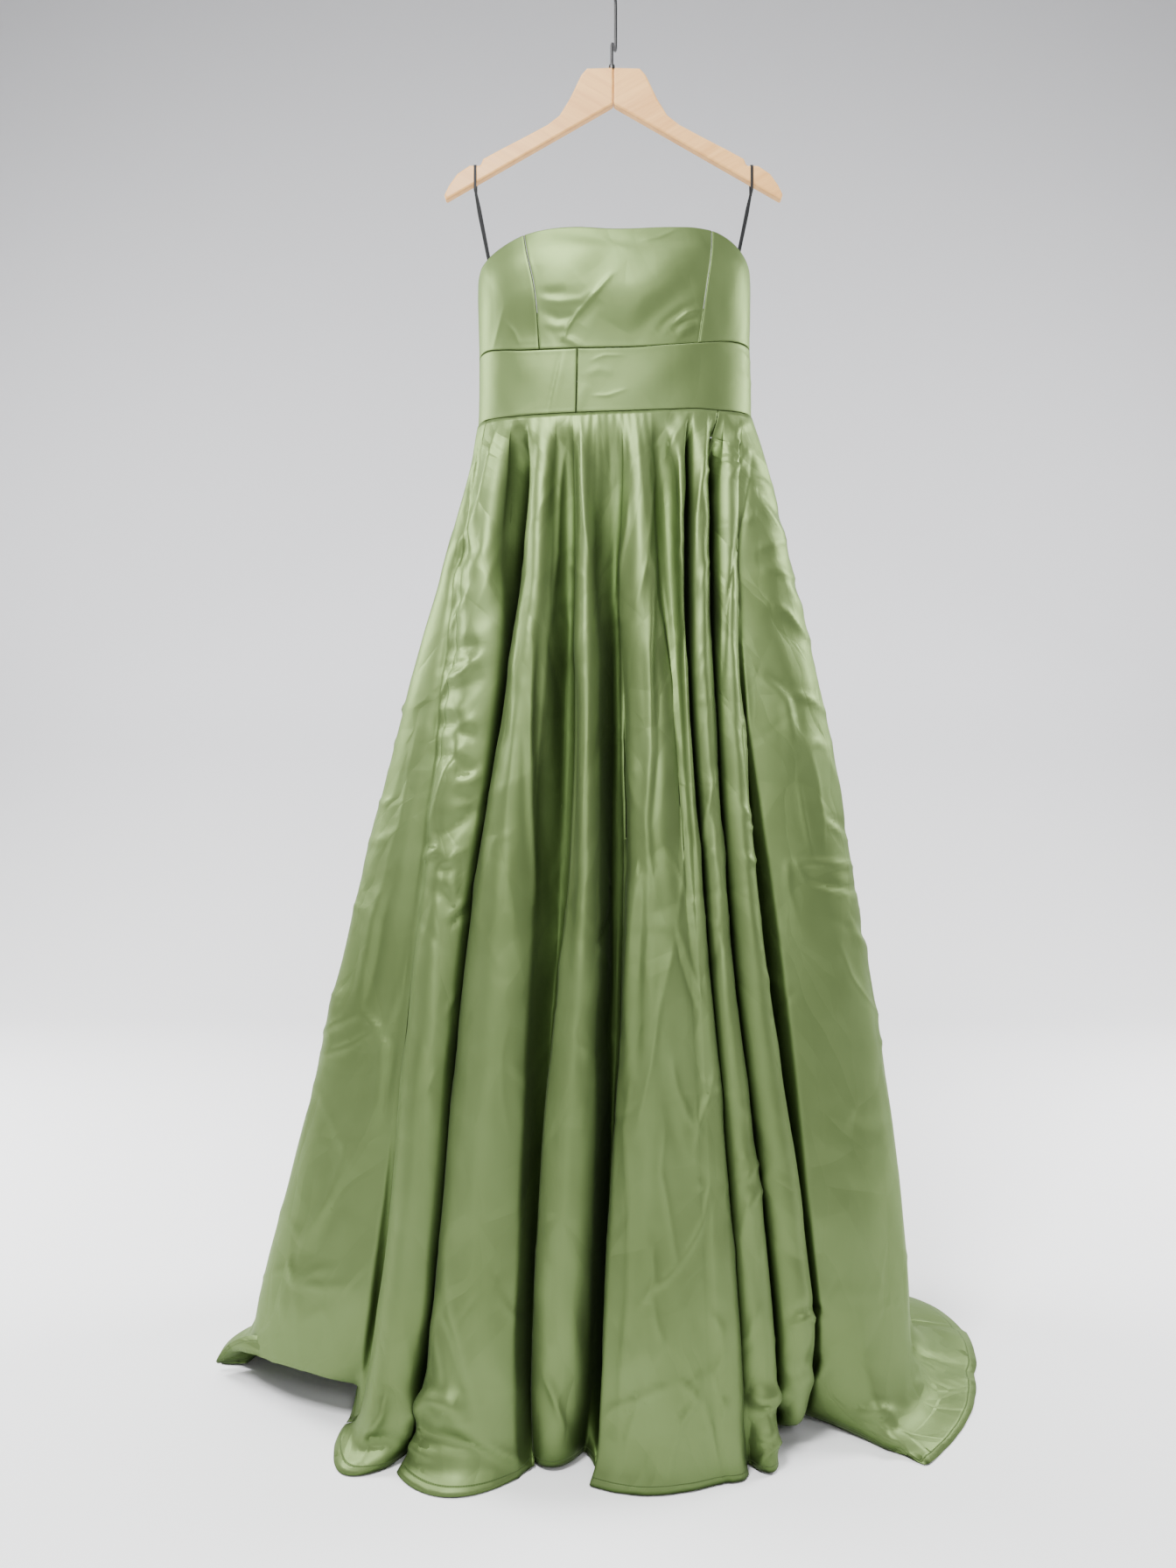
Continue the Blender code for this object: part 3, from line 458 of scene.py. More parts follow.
@dataclass(frozen=True)
class Nodes:
    """Shorthand for wiring one material's nodes."""

    material: bpy.types.Material

    @classmethod
    def start(cls, name: str) -> "Nodes":
        """Starts a material with a Principled shader."""
        material = bpy.data.materials.new(name)
        material.use_nodes = True
        return cls(material)

    @property
    def shader(self) -> bpy.types.Node:
        """The Principled shader."""
        return self.material.node_tree.nodes["Principled BSDF"]

    def add(self, kind: str, **values: object) -> bpy.types.Node:
        """Adds a node.

        Args:
            kind: the node's type name.
            values: properties, or inputs by name with spaces as underscores.

        Returns:
            The new node.
        """
        node = self.material.node_tree.nodes.new(kind)
        for key, value in values.items():
            if hasattr(node, key):
                setattr(node, key, value)
            else:
                node.inputs[key.replace("_", " ")].default_value = value
        return node

    def wire(self, start: bpy.types.NodeSocket, end: bpy.types.NodeSocket) -> None:
        """Joins an output to an input."""
        self.material.node_tree.links.new(start, end)

    def read(self, kind: str, place: bpy.types.NodeSocket, **values: object) -> bpy.types.NodeSocket:
        """Adds a texture or mapping that reads a place.

        Args:
            kind: the node's type name.
            place: the place's output.
            **values: as for add.

        Returns:
            The texture's factor, or the mapping's vector.
        """
        node = self.add(kind, **values)
        self.wire(place, node.inputs["Vector"])
        return node.outputs["Fac" if "Fac" in node.outputs else 0]

    def sum(self, operation: str, first: bpy.types.NodeSocket,
            second: "bpy.types.NodeSocket | float" = 0.0) -> bpy.types.NodeSocket:
        """Works out a sum.

        Args:
            operation: name of a math node's operation.
            first: its first number.
            second: its second number, as an output or a value.

        Returns:
            The result.
        """
        node = self.add("ShaderNodeMath", operation=operation)
        self.wire(first, node.inputs[0])
        if isinstance(second, float):
            node.inputs[1].default_value = second
        else:
            self.wire(second, node.inputs[1])
        return node.outputs["Value"]

    def surface(self, **values: object) -> None:
        """Sets the shader's inputs by name, with spaces as underscores: wired where given an output."""
        for key, value in values.items():
            socket = self.shader.inputs[key.replace("_", " ")]
            if isinstance(value, bpy.types.NodeSocket):
                self.wire(value, socket)
            else:
                socket.default_value = value

    def spread(self, texture: bpy.types.NodeSocket, low: float, high: float, least: float,
               most: float) -> bpy.types.NodeSocket:
        """Maps a texture's range to another.

        Args:
            texture: the texture's output.
            low: where its range starts.
            high: where it ends.
            least: value at the start.
            most: value at the end.

        Returns:
            The mapped output.
        """
        node = self.add("ShaderNodeMapRange")
        for socket, value in zip(("From Min", "From Max", "To Min", "To Max"), (low, high, least, most)):
            node.inputs[socket].default_value = value
        self.wire(texture, node.inputs["Value"])
        return node.outputs["Result"]

    def tones(self, factor: bpy.types.NodeSocket,
              stops: Sequence[Tuple[float, Colour]]) -> bpy.types.NodeSocket:
        """Colours a factor with a ramp.

        Args:
            factor: what drives the ramp.
            stops: place and colour of each stop.

        Returns:
            The ramp's colour.
        """
        node = self.add("ShaderNodeValToRGB")
        elements = node.color_ramp.elements
        while len(elements) < len(stops):
            elements.new(0.5)
        for element, (place, colour) in zip(elements, stops):
            element.position = place
            element.color = (*colour, 1.0)
        self.wire(factor, node.inputs["Fac"])
        return node.outputs["Color"]

    def bump(self, heights: Sequence[Tuple[bpy.types.NodeSocket, float, float]]) -> None:
        """Stacks bumps on the shader.

        Args:
            heights: height output, distance and strength of each, the strength negative for dents.
        """
        before = None
        for height, distance, strength in heights:
            node = self.add("ShaderNodeBump", invert=strength < 0.0,
                            Distance=distance, Strength=abs(strength))
            self.wire(height, node.inputs["Height"])
            if before is not None:
                self.wire(before, node.inputs["Normal"])
            before = node.outputs["Normal"]
        self.wire(before, self.shader.inputs["Normal"])

    def dress(self, *pieces: bpy.types.Object) -> None:
        """Gives the pieces this material and no other."""
        for piece in pieces:
            piece.data.materials.clear()
            piece.data.materials.append(self.material)


@dataclass(frozen=True)
class DuchessSatin:
    """Sage green satin: soft broad gloss, a fine crosswise grain, faint press marks, and painted shade
    darkening its colour in folds and seams.

    Attributes:
        name: the material's name.
        hemmed: whether a line of stitches runs along the bottom edge.
        creased: strength of the facets left by folding.
        pale: colour of the palest cloth.
        deep: colour of the deepest.
        roughness: how broad the gloss is.
        metallic: how much the gloss takes the cloth's colour.
        stitch_height: how far above the edge the stitches run.
        stitch_length: length of a stitch.
        thread: colour of the stitches.
        sheen: weight, roughness and tint of the fuzz.
        edge_tint: colour of the gloss at a glance.
        specular: strength of the plain gloss.
        anisotropic: how far the gloss is drawn out.
        fold_shade_reach: how far a fold's wall casts painted shade on the other.
        fold_shade_samples: how often that is measured.
        fold_painted_shade_tones: how open a place in a fold is, and its painted shade.
        seam_shade_reach: how far a seam's wall casts painted shade on the other.
        seam_shade_samples: how often that is measured.
        seam_painted_shade_tones: how open a place in a seam or crease is, and its painted shade.
        facet_sizes: facets to a metre across and up, and how much they stand out.
        crumple: depth and strength of the small crumples.
        threads: depth and strength of the weave.
        stitch_sink: depth and strength of the stitches' dents.
    """

    name: str = "duchess_satin"
    hemmed: bool = False
    creased: float = 0.3

    pale: Colour = (0.132, 0.188, 0.071)
    deep: Colour = (0.107, 0.154, 0.054)
    roughness: float = 0.47
    metallic: float = 0.66
    stitch_height: float = 0.0085
    stitch_length: float = 0.0028
    thread: Colour = (0.055, 0.085, 0.028)
    sheen: Tuple[float, float, Colour] = (0.03, 0.4, (0.75, 0.9, 0.6))
    edge_tint: Colour = (0.62, 0.76, 0.46)
    specular: float = 0.30
    anisotropic: float = 0.30
    fold_shade_reach: float = 0.07
    fold_shade_samples: int = 8
    fold_painted_shade_tones: Tuple[Tuple[float, Colour], ...] = (
        (0.10, (0.045, 0.07, 0.028)), (0.42, (0.44, 0.52, 0.37)), (0.76, (1.0, 1.0, 1.0)))
    seam_shade_reach: float = 0.004
    seam_shade_samples: int = 6
    seam_painted_shade_tones: Tuple[Tuple[float, Colour], ...] = ((0.30, (0.10, 0.15, 0.07)), (0.80, (1.0, 1.0, 1.0)))
    facet_sizes: Tuple[Tuple[float, float, float], ...] = ((7.5, 4.0, 0.0078), (16.0, 9.0, 0.0028))
    crumple: Tuple[float, float] = (0.0005, 0.25)
    threads: Tuple[float, float] = (0.00012, 0.35)
    stitch_sink: Tuple[float, float] = (0.0004, -0.8)

    def material(self) -> Nodes:
        """Makes the material."""
        nodes = Nodes.start(self.name)
        place = nodes.add("ShaderNodeUVMap", uv_map="weave").outputs["UV"]
        cloud = nodes.read("ShaderNodeTexNoise", place, Scale=7.0, Detail=3.0, Roughness=0.55)
        colour = nodes.tones(cloud, ((0.25, self.deep), (0.75, self.pale)))
        stitch = self.stitches(nodes, place)
        # Painted shade: ambient occlusion darkens the colour deep in folds, and in the grooves of seams and
        # creases.
        folds = self.shade(nodes, self.fold_shade_reach, self.fold_shade_samples, self.fold_painted_shade_tones)
        shaded = self.mix(nodes, "MULTIPLY", 1.0, colour, folds)
        seams = self.shade(nodes, self.seam_shade_reach, self.seam_shade_samples, self.seam_painted_shade_tones)
        seam_shaded = self.mix(nodes, "MULTIPLY", 1.0, shaded, seams)
        thread = self.mix(nodes, "MIX", stitch, seam_shaded, (*self.thread, 1.0))
        fine = nodes.read("ShaderNodeMapping", place, Scale=(900.0, 5200.0, 1.0))
        threads = nodes.read("ShaderNodeTexNoise", fine, Scale=1.0, Detail=2.0)
        crumple = nodes.read("ShaderNodeTexNoise", place, Scale=38.0, Detail=4.0, Roughness=0.5)
        facets = self.facets(nodes, place)
        nodes.bump((*facets, (crumple, *self.crumple), (threads, *self.threads), (stitch, *self.stitch_sink)))
        weight, roughness, tint = self.sheen
        nodes.surface(Base_Color=thread,
                      Roughness=nodes.spread(cloud, 0.3, 0.7, self.roughness - 0.03, self.roughness + 0.04),
                      Metallic=self.metallic, Specular_IOR_Level=self.specular, Anisotropic=self.anisotropic,
                      Specular_Tint=(*self.edge_tint, 1.0), Sheen_Weight=weight, Sheen_Roughness=roughness,
                      Sheen_Tint=(*tint, 1.0))
        return nodes

    def mix(self, nodes: Nodes, blend: str, share: "bpy.types.NodeSocket | float",
            *colours: "bpy.types.NodeSocket | Tuple[float, ...]") -> bpy.types.NodeSocket:
        """Mixes two colours.

        Args:
            nodes: the material.
            blend: how they blend.
            share: how much of the second.
            *colours: the two, as outputs or values.

        Returns:
            The mixed colour.
        """
        node = nodes.add("ShaderNodeMix", data_type="RGBA", blend_type=blend)
        for socket, value in zip((0, 6, 7), (share, *colours)):
            if isinstance(value, bpy.types.NodeSocket):
                nodes.wire(value, node.inputs[socket])
            else:
                node.inputs[socket].default_value = value
        return node.outputs[2]

    def shade(self, nodes: Nodes, reach: float, samples: int,
              tones: Sequence[Tuple[float, Colour]]) -> bpy.types.NodeSocket:
        """Paints shade into the colour of a hollow place, darker where the cloth is more closed in.

        Args:
            nodes: the material.
            reach: how far one wall shades another.
            samples: how often it is measured.
            tones: how open a place is, and its painted shade.

        Returns:
            The painted shade.
        """
        hollow = nodes.add("ShaderNodeAmbientOcclusion", samples=samples, Distance=reach)
        return nodes.tones(hollow.outputs["AO"], tones)

    def facets(self, nodes: Nodes,
               place: bpy.types.NodeSocket) -> List[Tuple[bpy.types.NodeSocket, float, float]]:
        """Makes the flat facets between old press creases.

        Args:
            nodes: the material.
            place: the place on the cloth.

        Returns:
            Height output, distance and strength of each size.
        """
        wander = nodes.add("ShaderNodeTexNoise", Scale=5.0, Detail=2.0)
        nodes.wire(place, wander.inputs["Vector"])
        drift = nodes.add("ShaderNodeVectorMath", operation="MULTIPLY_ADD")
        nodes.wire(wander.outputs["Color"], drift.inputs[0])
        drift.inputs[1].default_value = (0.10, 0.10, 0.0)
        nodes.wire(place, drift.inputs[2])
        facets = []
        for across, up, distance in self.facet_sizes:
            turned = nodes.read("ShaderNodeMapping", drift.outputs[0], Scale=(across, up, 1.0),
                                Rotation=(0.0, 0.0, 0.2))
            cells = nodes.read("ShaderNodeTexVoronoi", turned, feature="DISTANCE_TO_EDGE", Scale=1.0)
            facets.append((cells, distance, self.creased))
        return facets

    def stitches(self, nodes: Nodes, place: bpy.types.NodeSocket) -> bpy.types.NodeSocket:
        """Makes the hem's line of stitches.

        Args:
            nodes: the material.
            place: the place across and up the cloth.

        Returns:
            Output that is 1 on a stitch and 0 elsewhere.
        """
        split = nodes.add("ShaderNodeSeparateXYZ")
        nodes.wire(place, split.inputs["Vector"])
        off = nodes.sum("SUBTRACT", split.outputs["Y"], self.stitch_height if self.hemmed else -1.0)
        line = nodes.spread(nodes.sum("ABSOLUTE", off), 0.0004, 0.0009, 1.0, 0.0)
        dash = nodes.sum("PINGPONG", split.outputs["X"], 0.5 * self.stitch_length)
        return nodes.sum("MULTIPLY", line, nodes.spread(dash, 0.0001, 0.0004, 0.25, 1.0))


@dataclass(frozen=True)
class PaleWood:
    """Sanded beech under a thin clear coat, its grain along the arm."""

    light: Colour = (0.680, 0.375, 0.120)
    dark: Colour = (0.560, 0.280, 0.080)

    def material(self, name: str, slope: float) -> Nodes:
        """Makes the material for one arm.

        Args:
            name: the material's name.
            slope: the arm's fall, in radians, which the grain follows.

        Returns:
            The material.
        """
        nodes = Nodes.start(name)
        place = nodes.add("ShaderNodeTexCoord").outputs["Object"]
        along = nodes.read("ShaderNodeMapping", place, Rotation=(0.0, slope, 0.0))
        fine = nodes.read("ShaderNodeMapping", along, Scale=(14.0, 260.0, 260.0))
        fleck = nodes.read("ShaderNodeTexNoise", fine, Scale=1.0, Detail=4.0, Roughness=0.6)
        broad = nodes.read("ShaderNodeMapping", along, Scale=(3.0, 60.0, 60.0))
        bands = nodes.read("ShaderNodeTexNoise", broad, Scale=1.0, Detail=2.0, Distortion=0.4)
        grain = nodes.spread(nodes.sum("ADD", fleck, bands), 0.75, 1.25, 0.0, 1.0)
        nodes.surface(Base_Color=nodes.tones(grain, ((0.0, self.dark), (1.0, self.light))),
                      Roughness=nodes.spread(fleck, 0.3, 0.7, 0.42, 0.55))
        nodes.bump(((fleck, 0.0003, 0.2),))
        return nodes


class Pattern(Enum):
    """What breaks up a small part's finish: woven ribs or fine grain."""

    RIBS = "ShaderNodeTexWave"
    GRAIN = "ShaderNodeTexNoise"


@dataclass(frozen=True)
class SmallFinish:
    """Finish of a small part: two close tones in a fine pattern.

    Attributes:
        name: the material's name.
        pattern: what breaks it up.
        scale: how fine the pattern is.
        tones: place in the pattern and colour of the darkest and the palest.
        roughness: of the darkest and the palest.
        relief: depth and strength of the pattern, where it is felt.
        detail: how much the grain breaks up.
        specular: strength of the plain gloss.
        coat: weight of a clear coat.
    """

    name: str
    pattern: Pattern
    scale: float
    tones: Tuple[Tuple[float, Colour], ...]
    roughness: Tuple[float, float]
    relief: Tuple[float, float] = (0.0, 0.0)
    detail: float = 2.0
    specular: float = 0.5
    coat: float = 0.0

    def material(self) -> Nodes:
        """Makes the material."""
        nodes = Nodes.start(self.name)
        place = nodes.add("ShaderNodeTexCoord").outputs["Object"]
        own = {"bands_direction": "Z"} if self.pattern is Pattern.RIBS else {"Detail": self.detail}
        fine = nodes.read(self.pattern.value, place, Scale=self.scale, **own)
        smoothest, roughest = self.roughness
        gloss = smoothest if smoothest == roughest else nodes.spread(fine, 0.3, 0.7, smoothest, roughest)
        nodes.surface(Base_Color=nodes.tones(fine, self.tones), Roughness=gloss,
                      Specular_IOR_Level=self.specular, Coat_Weight=self.coat)
        if self.relief[0]:
            nodes.bump(((fine, *self.relief),))
        return nodes


BLACK_RIBBON = SmallFinish("black_ribbon", Pattern.RIBS, 900.0,
                           ((0.0, (0.003, 0.003, 0.0035)), (1.0, (0.009, 0.009, 0.010))),
                           (0.55, 0.55), (0.0001, 0.4), specular=0.25)
BLACK_COAT = SmallFinish("black_coat", Pattern.GRAIN, 900.0,
                         ((0.3, (0.007, 0.007, 0.008)), (0.7, (0.02, 0.02, 0.021))),
                         (0.32, 0.45), (0.00005, 0.3))
ZIP_ENAMEL = SmallFinish("zip_enamel", Pattern.GRAIN, 600.0,
                         ((0.35, (0.20, 0.28, 0.14)), (0.65, (0.25, 0.34, 0.18))),
                         (0.3, 0.3), detail=3.0, coat=0.4)
ZIP_TAPE = SmallFinish("zip_tape_weave", Pattern.RIBS, 1500.0,
                       ((0.0, (0.17, 0.23, 0.12)), (1.0, (0.23, 0.31, 0.17))), (0.8, 0.8), (0.0002, 0.5))


@dataclass(frozen=True)
class Ring:
    """Half widths and depths of the bodice at a height."""

    height: float
    left: float
    right: float
    front: float
    back: float


@dataclass(frozen=True)
class TorsoForm:
    """The hollow form of the bodice and band, and the heights of their seams by bearing."""

    rings: Tuple[Ring, ...] = (
        Ring(1.180, 0.173, 0.176, 0.085, 0.066),
        Ring(1.235, 0.171, 0.174, 0.085, 0.066),
        Ring(1.285, 0.171, 0.173, 0.086, 0.066),
        Ring(1.345, 0.172, 0.173, 0.096, 0.067),
        Ring(1.385, 0.171, 0.173, 0.095, 0.067),
        Ring(1.425, 0.167, 0.169, 0.086, 0.065),
    )
    squareness: float = 2.25
    bearings: Tuple[float, ...] = (0, 60, 90, 101, 113, 127, 141, 152, 166, 180, 200, 213, 224, 235,
                                   247, 258, 270, 300)
    neckline: Tuple[float, ...] = (1.370, 1.368, 1.3755, 1.387, 1.3935, 1.402, 1.411, 1.4145, 1.415,
                                   1.4115, 1.416, 1.419, 1.418, 1.412, 1.402, 1.392, 1.3866, 1.374)
    band_top: Tuple[float, ...] = (1.280, 1.275, 1.273, 1.280, 1.281, 1.277, 1.272, 1.270, 1.269,
                                   1.269, 1.274, 1.279, 1.284, 1.288, 1.290, 1.291, 1.293, 1.287)
    waist: Tuple[float, ...] = (1.197, 1.192, 1.190, 1.194, 1.195, 1.193, 1.192, 1.191, 1.191, 1.192,
                                1.196, 1.199, 1.200, 1.202, 1.204, 1.205, 1.206, 1.201)

    def height_of(self, seam: Sequence[float], bearing: np.ndarray) -> np.ndarray:
        """Height of a crosswise seam at some bearings."""
        return round_the_body(self.bearings, seam, bearing)

    def points(self, bearing: np.ndarray, height: np.ndarray) -> np.ndarray:
        """Finds points on the outer face.

        Args:
            bearing: their bearings.
            height: their heights above the floor.

        Returns:
            The points.
        """
        heights = [ring.height for ring in self.rings]
        sizes = [smooth(heights, [getattr(ring, side) for ring in self.rings], height)
                 for side in ("left", "right", "front", "back")]
        x, y, _, _ = ring_point(bearing, *sizes, self.squareness)
        return np.stack([x, y, height + 0.0 * x], axis=-1)


TORSO = TorsoForm()


@dataclass(frozen=True)
class Panel:
    """One panel of the bodice or band.

    Attributes:
        name: its node and piece.
        left: bearing of its left seam at the bottom, middle and top.
        right: bearing of its right seam.
        flat: width and length of the piece as cut; not used.
    """

    name: str
    left: Tuple[float, float, float]
    right: Tuple[float, float, float]
    flat: Tuple[float, float]


@dataclass
class Bodice:
    """Boned bodice of five panels over a band of four."""

    princess_left: Tuple[float, float, float] = (150.3, 148.0, 141.5)
    princess_right: Tuple[float, float, float] = (213.6, 218.0, 222.0)
    band_seam: Tuple[float, float, float] = (166.6, 166.8, 167.0)
    column_step: float = 0.0016
    bodice_rows: int = 91
    band_rows: int = 61
    groove_depth: float = 0.0014
    groove_width: float = 0.0004
    lip_height: float = 0.0001
    lip_place: float = 0.0030
    lip_width: float = 0.0020
    pieces: List[bpy.types.Object] = field(default_factory=list)

    def panels(self) -> Tuple[Tuple[Panel, ...], Tuple[Panel, ...]]:
        """Lists the panels of the bodice and of the band."""
        start, left, right, end = (0.0,) * 3, (90.0,) * 3, (270.0,) * 3, (360.0,) * 3
        bodice = (
            Panel("bodice_back_left", start, left, (0.205, 0.112)),
            Panel("bodice_side_left", left, self.princess_left, (0.125, 0.150)),
            Panel("bodice_front", self.princess_left, self.princess_right, (0.240, 0.160)),
            Panel("bodice_side_right", self.princess_right, right, (0.115, 0.150)),
            Panel("bodice_back_right", right, end, (0.205, 0.112)),
        )
        band = (
            Panel("midriff_back_left", start, left, (0.205, 0.095)),
            Panel("midriff_front_left", left, self.band_seam, (0.175, 0.092)),
            Panel("midriff_front_right", self.band_seam, right, (0.250, 0.100)),
            Panel("midriff_back_right", right, end, (0.205, 0.095)),
        )
        return bodice, band

    def grid(self, panel: Panel, low: Sequence[float], high: Sequence[float], rows: int) -> np.ndarray:
        """Lays out a panel's outer face.

        Args:
            panel: the panel.
            low: heights of its lower seam.
            high: heights of its upper edge.
            rows: number of rows.

        Returns:
            Its points.
        """
        share = np.concatenate([[0.0, 0.008], np.linspace(0.016, 0.984, rows - 4), [0.992, 1.0]])[:, None]
        start = smooth((0.0, 0.5, 1.0), panel.left, share)
        end = smooth((0.0, 0.5, 1.0), panel.right, share)
        ring = TORSO.points(np.linspace(panel.left[1], panel.right[1], 60), np.array(1.25))
        length = np.linalg.norm(np.diff(ring, axis=0), axis=-1).sum()
        columns = int(length / self.column_step) // 2 * 2 + 1
        inset = PIECE_GAP / length
        lip = self.groove_width / length
        across = np.linspace(2.0 * lip, 1.0 - 2.0 * lip, columns - 4)
        across = np.concatenate([[0.0, lip], across, [1.0 - lip, 1.0]])[None, :]
        bearing = start + (end - start) * (inset / 2 + across * (1 - inset))
        bottom = TORSO.height_of(low, bearing) + 0.5 * PIECE_GAP
        top = TORSO.height_of(high, bearing) - 0.5 * PIECE_GAP
        return TORSO.points(bearing, bottom + (top - bottom) * share)

    def tuck_edges(self, grid: np.ndarray) -> np.ndarray:
        """Rolls a panel's sewn edges in, so that each seam is a fine groove between soft lips.

        Args:
            grid: the panel's points.

        Returns:
            The moved points.
        """
        normals = grid_normals(grid)
        across = np.linalg.norm(np.diff(grid, axis=1), axis=-1)
        from_left = np.concatenate([np.zeros((grid.shape[0], 1)), np.cumsum(across, axis=1)], axis=1)
        up = np.linalg.norm(np.diff(grid, axis=0), axis=-1)
        from_bottom = np.concatenate([np.zeros((1, grid.shape[1])), np.cumsum(up, axis=0)], axis=0)
        distances = (from_left, from_left[:, -1:] - from_left, from_bottom, from_bottom[-1:] - from_bottom)
        lift = np.zeros(grid.shape[:2])
        for distance in distances:
            lift -= self.groove_depth * np.exp(-(distance / self.groove_width) ** 1.5)
            lift += self.lip_height * np.exp(-((distance - self.lip_place) / self.lip_width) ** 2)
        return grid + normals * lift[..., None]

    def build(self) -> List[bpy.types.Object]:
        """Makes the nine panels."""
        bodice, band = self.panels()
        for panels, low, high, rows in ((bodice, TORSO.band_top, TORSO.neckline, self.bodice_rows),
                                        (band, TORSO.waist, TORSO.band_top, self.band_rows)):
            for panel in panels:
                grid = press(self.grid(panel, low, high, rows), BODICE_WRINKLES)
                self.add(panel, self.tuck_edges(press(grid, BODICE_WRINKLES, from_behind=True)))
        return self.pieces

    def add(self, panel: Panel, grid: np.ndarray) -> None:
        """Makes a panel's piece, attaches it to the gown, hides the panel's solid and logs its faces."""
        piece = Mesh.sheet(panel.name + "_satin", grid)
        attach(piece, BODY)
        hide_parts(panel.name)
        self.pieces.append(piece)
        LOG.info("%s: %d faces", piece.name, len(piece.data.polygons))


def crease(shape: Shape, width: float, height: float, *path: float) -> Wrinkle:
    """Makes a wrinkle from half its width and its height in mm, and each pixel of its path."""
    return Wrinkle(tuple(zip(path[::2], path[1::2])), width / 1000.0, height / 1000.0, shape)


rounded, pressed, stepped = (partial(crease, shape) for shape in (Shape.SOFT, Shape.CRISP, Shape.STEP))

BODICE_WRINKLES = (
    pressed(3.5, 1.9, 700,312, 683,332, 670,346, 660,358),
    pressed(3, 2, 664,352, 655,364, 648,376, 644,388),
    rounded(5, -1.4, 684,340, 672,356, 662,370),
    rounded(2.8, 1.4, 640,384, 654,390, 666,397),
    rounded(4, -1.2, 618,333, 630,335, 648,333),
    rounded(3, 1, 618,341, 640,345, 664,342, 680,330),
    rounded(3.5, -1.6, 620,356, 638,363, 656,360),
    rounded(3, 0.9, 622,370, 636,374, 648,372),
    rounded(15, 3.8, 812,284, 770,304, 732,336, 706,378),
    rounded(8.5, -1.9, 800,316, 770,340, 740,366, 716,392),
    rounded(12, -1.4, 700,276, 688,300, 664,322),
    rounded(3.4, -1.6, 798,346, 782,353, 764,366, 750,380),
    pressed(2.6, 1.9, 799,354, 786,357, 772,368),
    rounded(3, -1.5, 797,363, 784,366, 766,377),
    rounded(3, 0.9, 796,372, 782,377, 774,384),
    rounded(11, 1.6, 556,322, 580,306, 606,292),
    pressed(4, 0.7, 576,350, 570,375, 562,404),
    pressed(2.6, 0.6, 578,368, 588,380, 594,394),
    rounded(9, -1, 608,300, 604,340, 606,392),
    pressed(2.8, 0.7, 734,274, 752,271, 772,263),
    rounded(4.5, -0.9, 640,268, 690,272, 740,279, 790,276),
    rounded(6, 1.1, 836,288, 846,304, 852,340, 854,388),
    rounded(8, -1, 826,306, 822,340, 826,380),
    pressed(2.8, -1, 641,400, 633,436, 624,476),
    rounded(3.2, 0.6, 645,400, 637,436, 629,474),
    rounded(12, 1.2, 700,466, 742,436, 786,398),
    rounded(12, -1.4, 744,464, 786,432, 828,398),
    pressed(2.6, 0.7, 678,452, 694,452, 716,445),
    pressed(2.6, 0.6, 676,412, 690,406, 712,406),
    rounded(3, 0.5, 670,428, 684,422, 702,426),
    rounded(4, 0.6, 670,438, 664,452, 662,470),
    rounded(5, 1.1, 848,396, 854,430, 858,474),
    pressed(2.6, 0.7, 846,400, 858,416, 862,428),
    pressed(2.6, 0.7, 848,424, 858,440, 863,452),
    rounded(10, -0.9, 560,410, 590,440, 600,470),
)


@dataclass(frozen=True)
class Station:
    """The ring that the skirt's panels touch at a place down the cloth."""

    name: str
    height: float
    left: float
    right: float
    front: float
    back: float
    squareness: float


@dataclass(frozen=True)
class Fold:
    """A fold of the skirt's front, its numbers at the waist, hip, thigh, knee, ankle and hem.

    Attributes:
        name: its name.
        across: distance of its gap right of the centre line.
        width: width of the gap.
        depth: depth of the gap.
        lean: how far its bottom lies to the right of its mouth.
    """

    name: str
    across: Tuple[float, ...]
    width: Tuple[float, ...]
    depth: Tuple[float, ...]
    lean: float


@dataclass(frozen=True)
class BackFold:
    """A fold of the skirt's back: bearing at waist and hem, width, depth, and depth at the hem."""

    name: str
    bearing_waist: float
    bearing_hem: float
    width: float
    depth: float
    hem_depth: float


@dataclass(frozen=True)
class HemTip:
    """A corner that the hem draws out to on the floor: its bearing, width in degrees and reach."""

    bearing: float
    width: float
    reach: float


@dataclass(frozen=True)
class PanelHem:
    """How far a panel's hem lies in from the ring and above the floor, at its two edges and middle.

    Attributes:
        inward: distance in from the ring.
        lift: height above the floor.
        start: station from which both grow.
        outline: share across the panel and inset of more points, in place of the three of inward.
    """

    inward: Tuple[float, float, float] = (0.0, 0.0, 0.0)
    lift: Tuple[float, float, float] = (0.0, 0.0, 0.0)
    start: float = 5.0
    outline: Tuple[Tuple[float, float], ...] = ()


